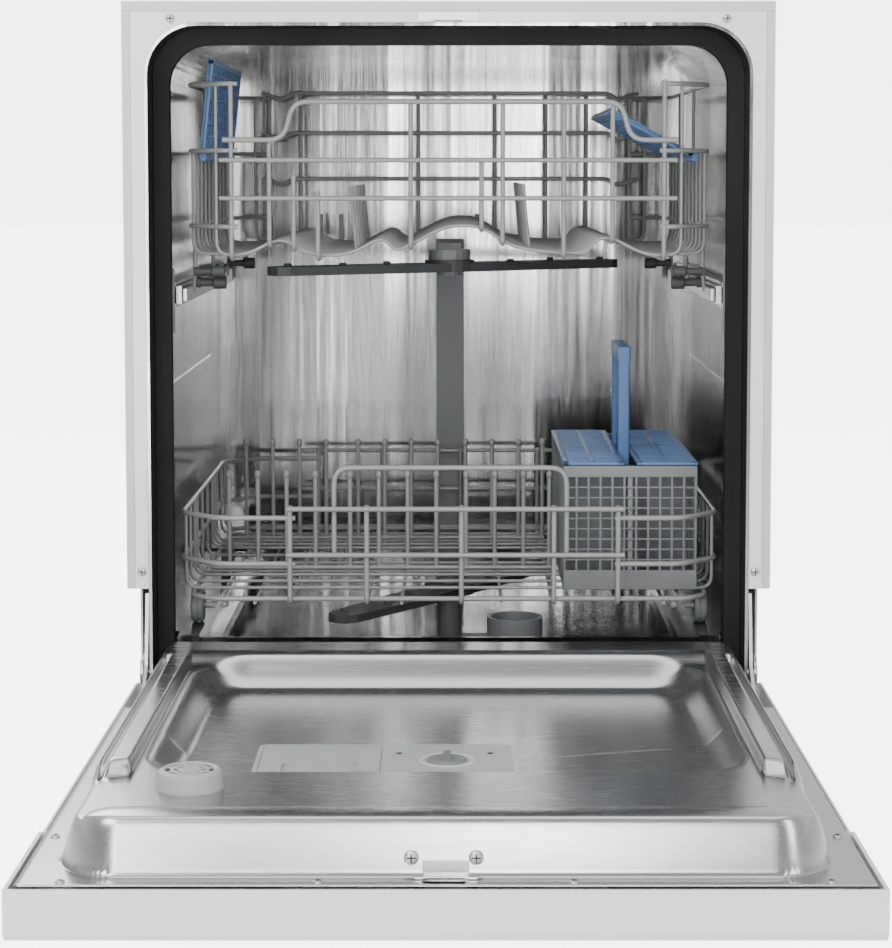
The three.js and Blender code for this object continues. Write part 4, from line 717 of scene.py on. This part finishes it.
def liner_height(x, y):
    """Height of the pressed sheet: flange, wall, platform with side ribs, front bead, rear ledge and basin."""
    inside = depth_inside(x, y, LINER_HALF, LINER_Y0, LINER_Y1 + 30, LINER_CORNER)
    if inside <= 0:
        return FLANGE_TOP
    rear = ease(FRONT - 52, FRONT - 26, y)
    top = PLATFORM + (LEDGE - PLATFORM) * rear
    rib = ease(236, 240, abs(x)) * (1 - ease(270, 271.6, abs(x)))
    rib = rib * ease(FRONT - 476 + (272 - abs(x)), FRONT - 436, y)
    groove = ease(253, 255.5, abs(x)) * (1 - ease(258, 260.5, abs(x))) * (1 - ease(FRONT - 50, FRONT - 40, y))
    top = max(top, top + (LEDGE - top) * rib * (1 - 0.75 * groove))
    bead = depth_inside(x, y, BEAD_HALF, BEAD_Y0, BEAD_Y1, BEAD_ROUND) / BEAD_ROUND
    if bead > 0:
        top += BEAD_HIGH * math.sqrt(1 - (1 - min(1, bead)) ** 2)
    basin = depth_inside(x, y, BASIN_HALF, BASIN_Y0, BASIN_Y1, BASIN_CORNER)
    floor = BASIN
    splash = FRONT - 335 + 62 * max(0, min(1, (abs(x + 50) - 95) / 190)) ** 0.7
    floor += SPLASH_STEP * (1 - ease(splash - 4, splash + 3, y))
    height = top + (floor - top) * ease(0, BASIN_WALL, basin)
    wall = math.sin(math.pi / 2 * min(1, inside / LINER_WALL)) ** 0.75
    return FLANGE_TOP + (height - FLANGE_TOP) * wall


def grid_lines(start, end, coarse, fine, zones):
    """Grid places from start to end, at the fine step inside the zones."""
    lines, place = [start], start
    while place < end - 0.2:
        close = any(low <= place <= high for low, high in zones)
        place = min(end, place + (fine if close else coarse))
        lines.append(place)
    return lines


def liner_hole(x, y):
    """Where the sheet is open: dispenser, vent, hinge notches and latch."""
    if DISPENSER[0] + 2 < x < DISPENSER[1] - 2 and DISPENSER[2] + 2 < y < DISPENSER[3] - 2:
        return True
    if math.hypot(x - (VENT[0] + VENT[1]) / 2, y - (VENT[2] + VENT[3]) / 2) < 20:
        return True
    if abs(x) > 278 and y > FRONT - 62:
        return True
    return abs(x) < 15 and abs(y - (FRONT - 597.4)) < 4


def liner():
    """The door's pressed inner sheet."""
    x0, x1, y0, y1 = LINER[:4]
    edge = LINER_HALF
    xs = grid_lines(x0, x1, 4, 1.1, [(-edge - 3, -edge + 44), (edge - 44, edge + 3)])
    ys = grid_lines(y0, y1, 4, 1.1, [(LINER_Y0 - 3, LINER_Y0 + 60), (FRONT - 60, FRONT - 20)])
    bm = bmesh.new()
    grid = [[bm.verts.new(at(x, y, liner_height(x, y))) for x in xs] for y in ys]
    for j in range(len(ys) - 1):
        for i in range(len(xs) - 1):
            if not liner_hole((xs[i] + xs[i + 1]) / 2, (ys[j] + ys[j + 1]) / 2):
                bm.faces.new((grid[j][i], grid[j][i + 1], grid[j + 1][i + 1], grid[j + 1][i]))
    loose = [v for v in bm.verts if not v.link_faces]
    bmesh.ops.delete(bm, geom=loose, context="VERTS")
    obj = from_bmesh("liner_sheet", bm)
    if obj.data.polygons[0].normal.z < 0:
        obj.data.flip_normals()
    sheet = obj.modifiers.new("sheet", "SOLIDIFY")
    sheet.thickness = 1.1 * MM
    sheet.offset = -1
    keep(obj, "door", "liner_steel", "door_liner")


def door_trim():
    """Marks beside the knob, a ring round the knob, the latch's insert and the rolled rim of the door."""
    z1 = DISPENSER[5]
    knob = edges("rinse_aid_cap")
    kx, ky = (knob[0] + knob[1]) / 2, (knob[2] + knob[3]) / 2
    bm = bmesh.new()
    for x in (kx - 38, kx + 34):
        add_turned(bm, [[0, z1 - 0.3], [2.6, z1 - 0.3], [2.4, z1 + 0.4], [0, z1 + 0.45]], (x, ky + 22, 0), 20)
    keep(from_bmesh("dispenser_marks", bm), "door", "dark_plastic")
    turns = [math.tau * k / 40 for k in range(40)]
    ring = [(kx + 21 * math.cos(a), ky + 21 * math.sin(a), z1 + 0.1) for a in turns]
    wires("knob_ring", [(ring, 0.5, 0, True)], "door", "white_plastic")
    bm = bmesh.new()
    front = LINER_Y0
    add_box(bm, -16, 16, front - 0.6, front + 1.4, 221.6, 233)
    add_box(bm, -22, 22, front - 6, front + 0.4, 221.4, 223.6)
    keep(rounded_off(from_bmesh("latch_insert", bm), 0.6, 2), "door", "liner_steel")
    rim = FRONT - 612
    runs = [([(-299, rim + 1.3, 218.3), (299, rim + 1.3, 218.3)], 1.2, 0, False)]
    wires("door_rim", runs, "door", "zinc_steel")


SPRING_TURNS = 34


def springs():
    """Coils in place of the door springs' plain CAD solids."""
    for side in ("left", "right"):
        x0, x1, y0, y1, z0, z1 = edges("door_spring_" + side)
        cx, cy, r = (x0 + x1) / 2, (y0 + y1) / 2, (x1 - x0) / 2 - 1
        coil = []
        for k in range(SPRING_TURNS * 12 + 1):
            a = math.tau * k / 12
            z = z0 + 4 + (z1 - z0 - 8) * k / (SPRING_TURNS * 12)
            coil.append((cx + r * math.cos(a), cy + r * math.sin(a), z))
        wires("coil_" + side, [(coil, 0.95, 0, False)], "cabinet", "zinc_steel", "door_spring_" + side)


# ---------------------------------------------------------------- everything together
# Bevel widths of CAD nodes whose edges aren't the usual 0.5 mm.
SHARP = {"tub": 2.5, "front_frame": 1.2, "door_panel": 1.0, "console": 1.2, "side_panel_left": 0.8,
         "side_panel_right": 0.8, "upper_spray_arm": 1.4, "lower_spray_arm": 1.4, "dispenser": 0.8,
         "detergent_lid": 0.8, "filter_cup": 0.8, "rack_manifold": 1.5, "circulation_pump": 1.5, "drain_pump": 1.5}


def dress_cad():
    """Materials for every CAD node, and bevelled edges for those that still show."""
    for name, obj in NODES.items():
        obj.data.materials.clear()
        obj.data.materials.append(MATERIALS[SLOT_OF[name]])
        if not obj.hide_render:
            rounded_off(obj, SHARP.get(name, 0.5), 2, flat=True)


def build():
    make_camera()
    make_studio()
    make_floor(material("floor", (0.9, 0.9, 0.9), 0.6, grain=60, bump=0.02, tone=0.01))
    upper_rack()
    rack_rails()
    lower_rack()
    tine_beads()
    for end in ("front", "rear"):
        for side in ("left", "right"):
            wheel(f"wheel_{end}_{side}")
    basket()
    flap("lid_flap_left")
    flap("lid_flap_right")
    shelf("cup_shelf_right", 1, SHELF_LOW)
    shelf("cup_shelf_left", -1, SHELF_RAISED)
    gasket()
    vent()
    screws()
    rail_ends()
    liner()
    door_trim()
    springs()
    dress_cad()


build()
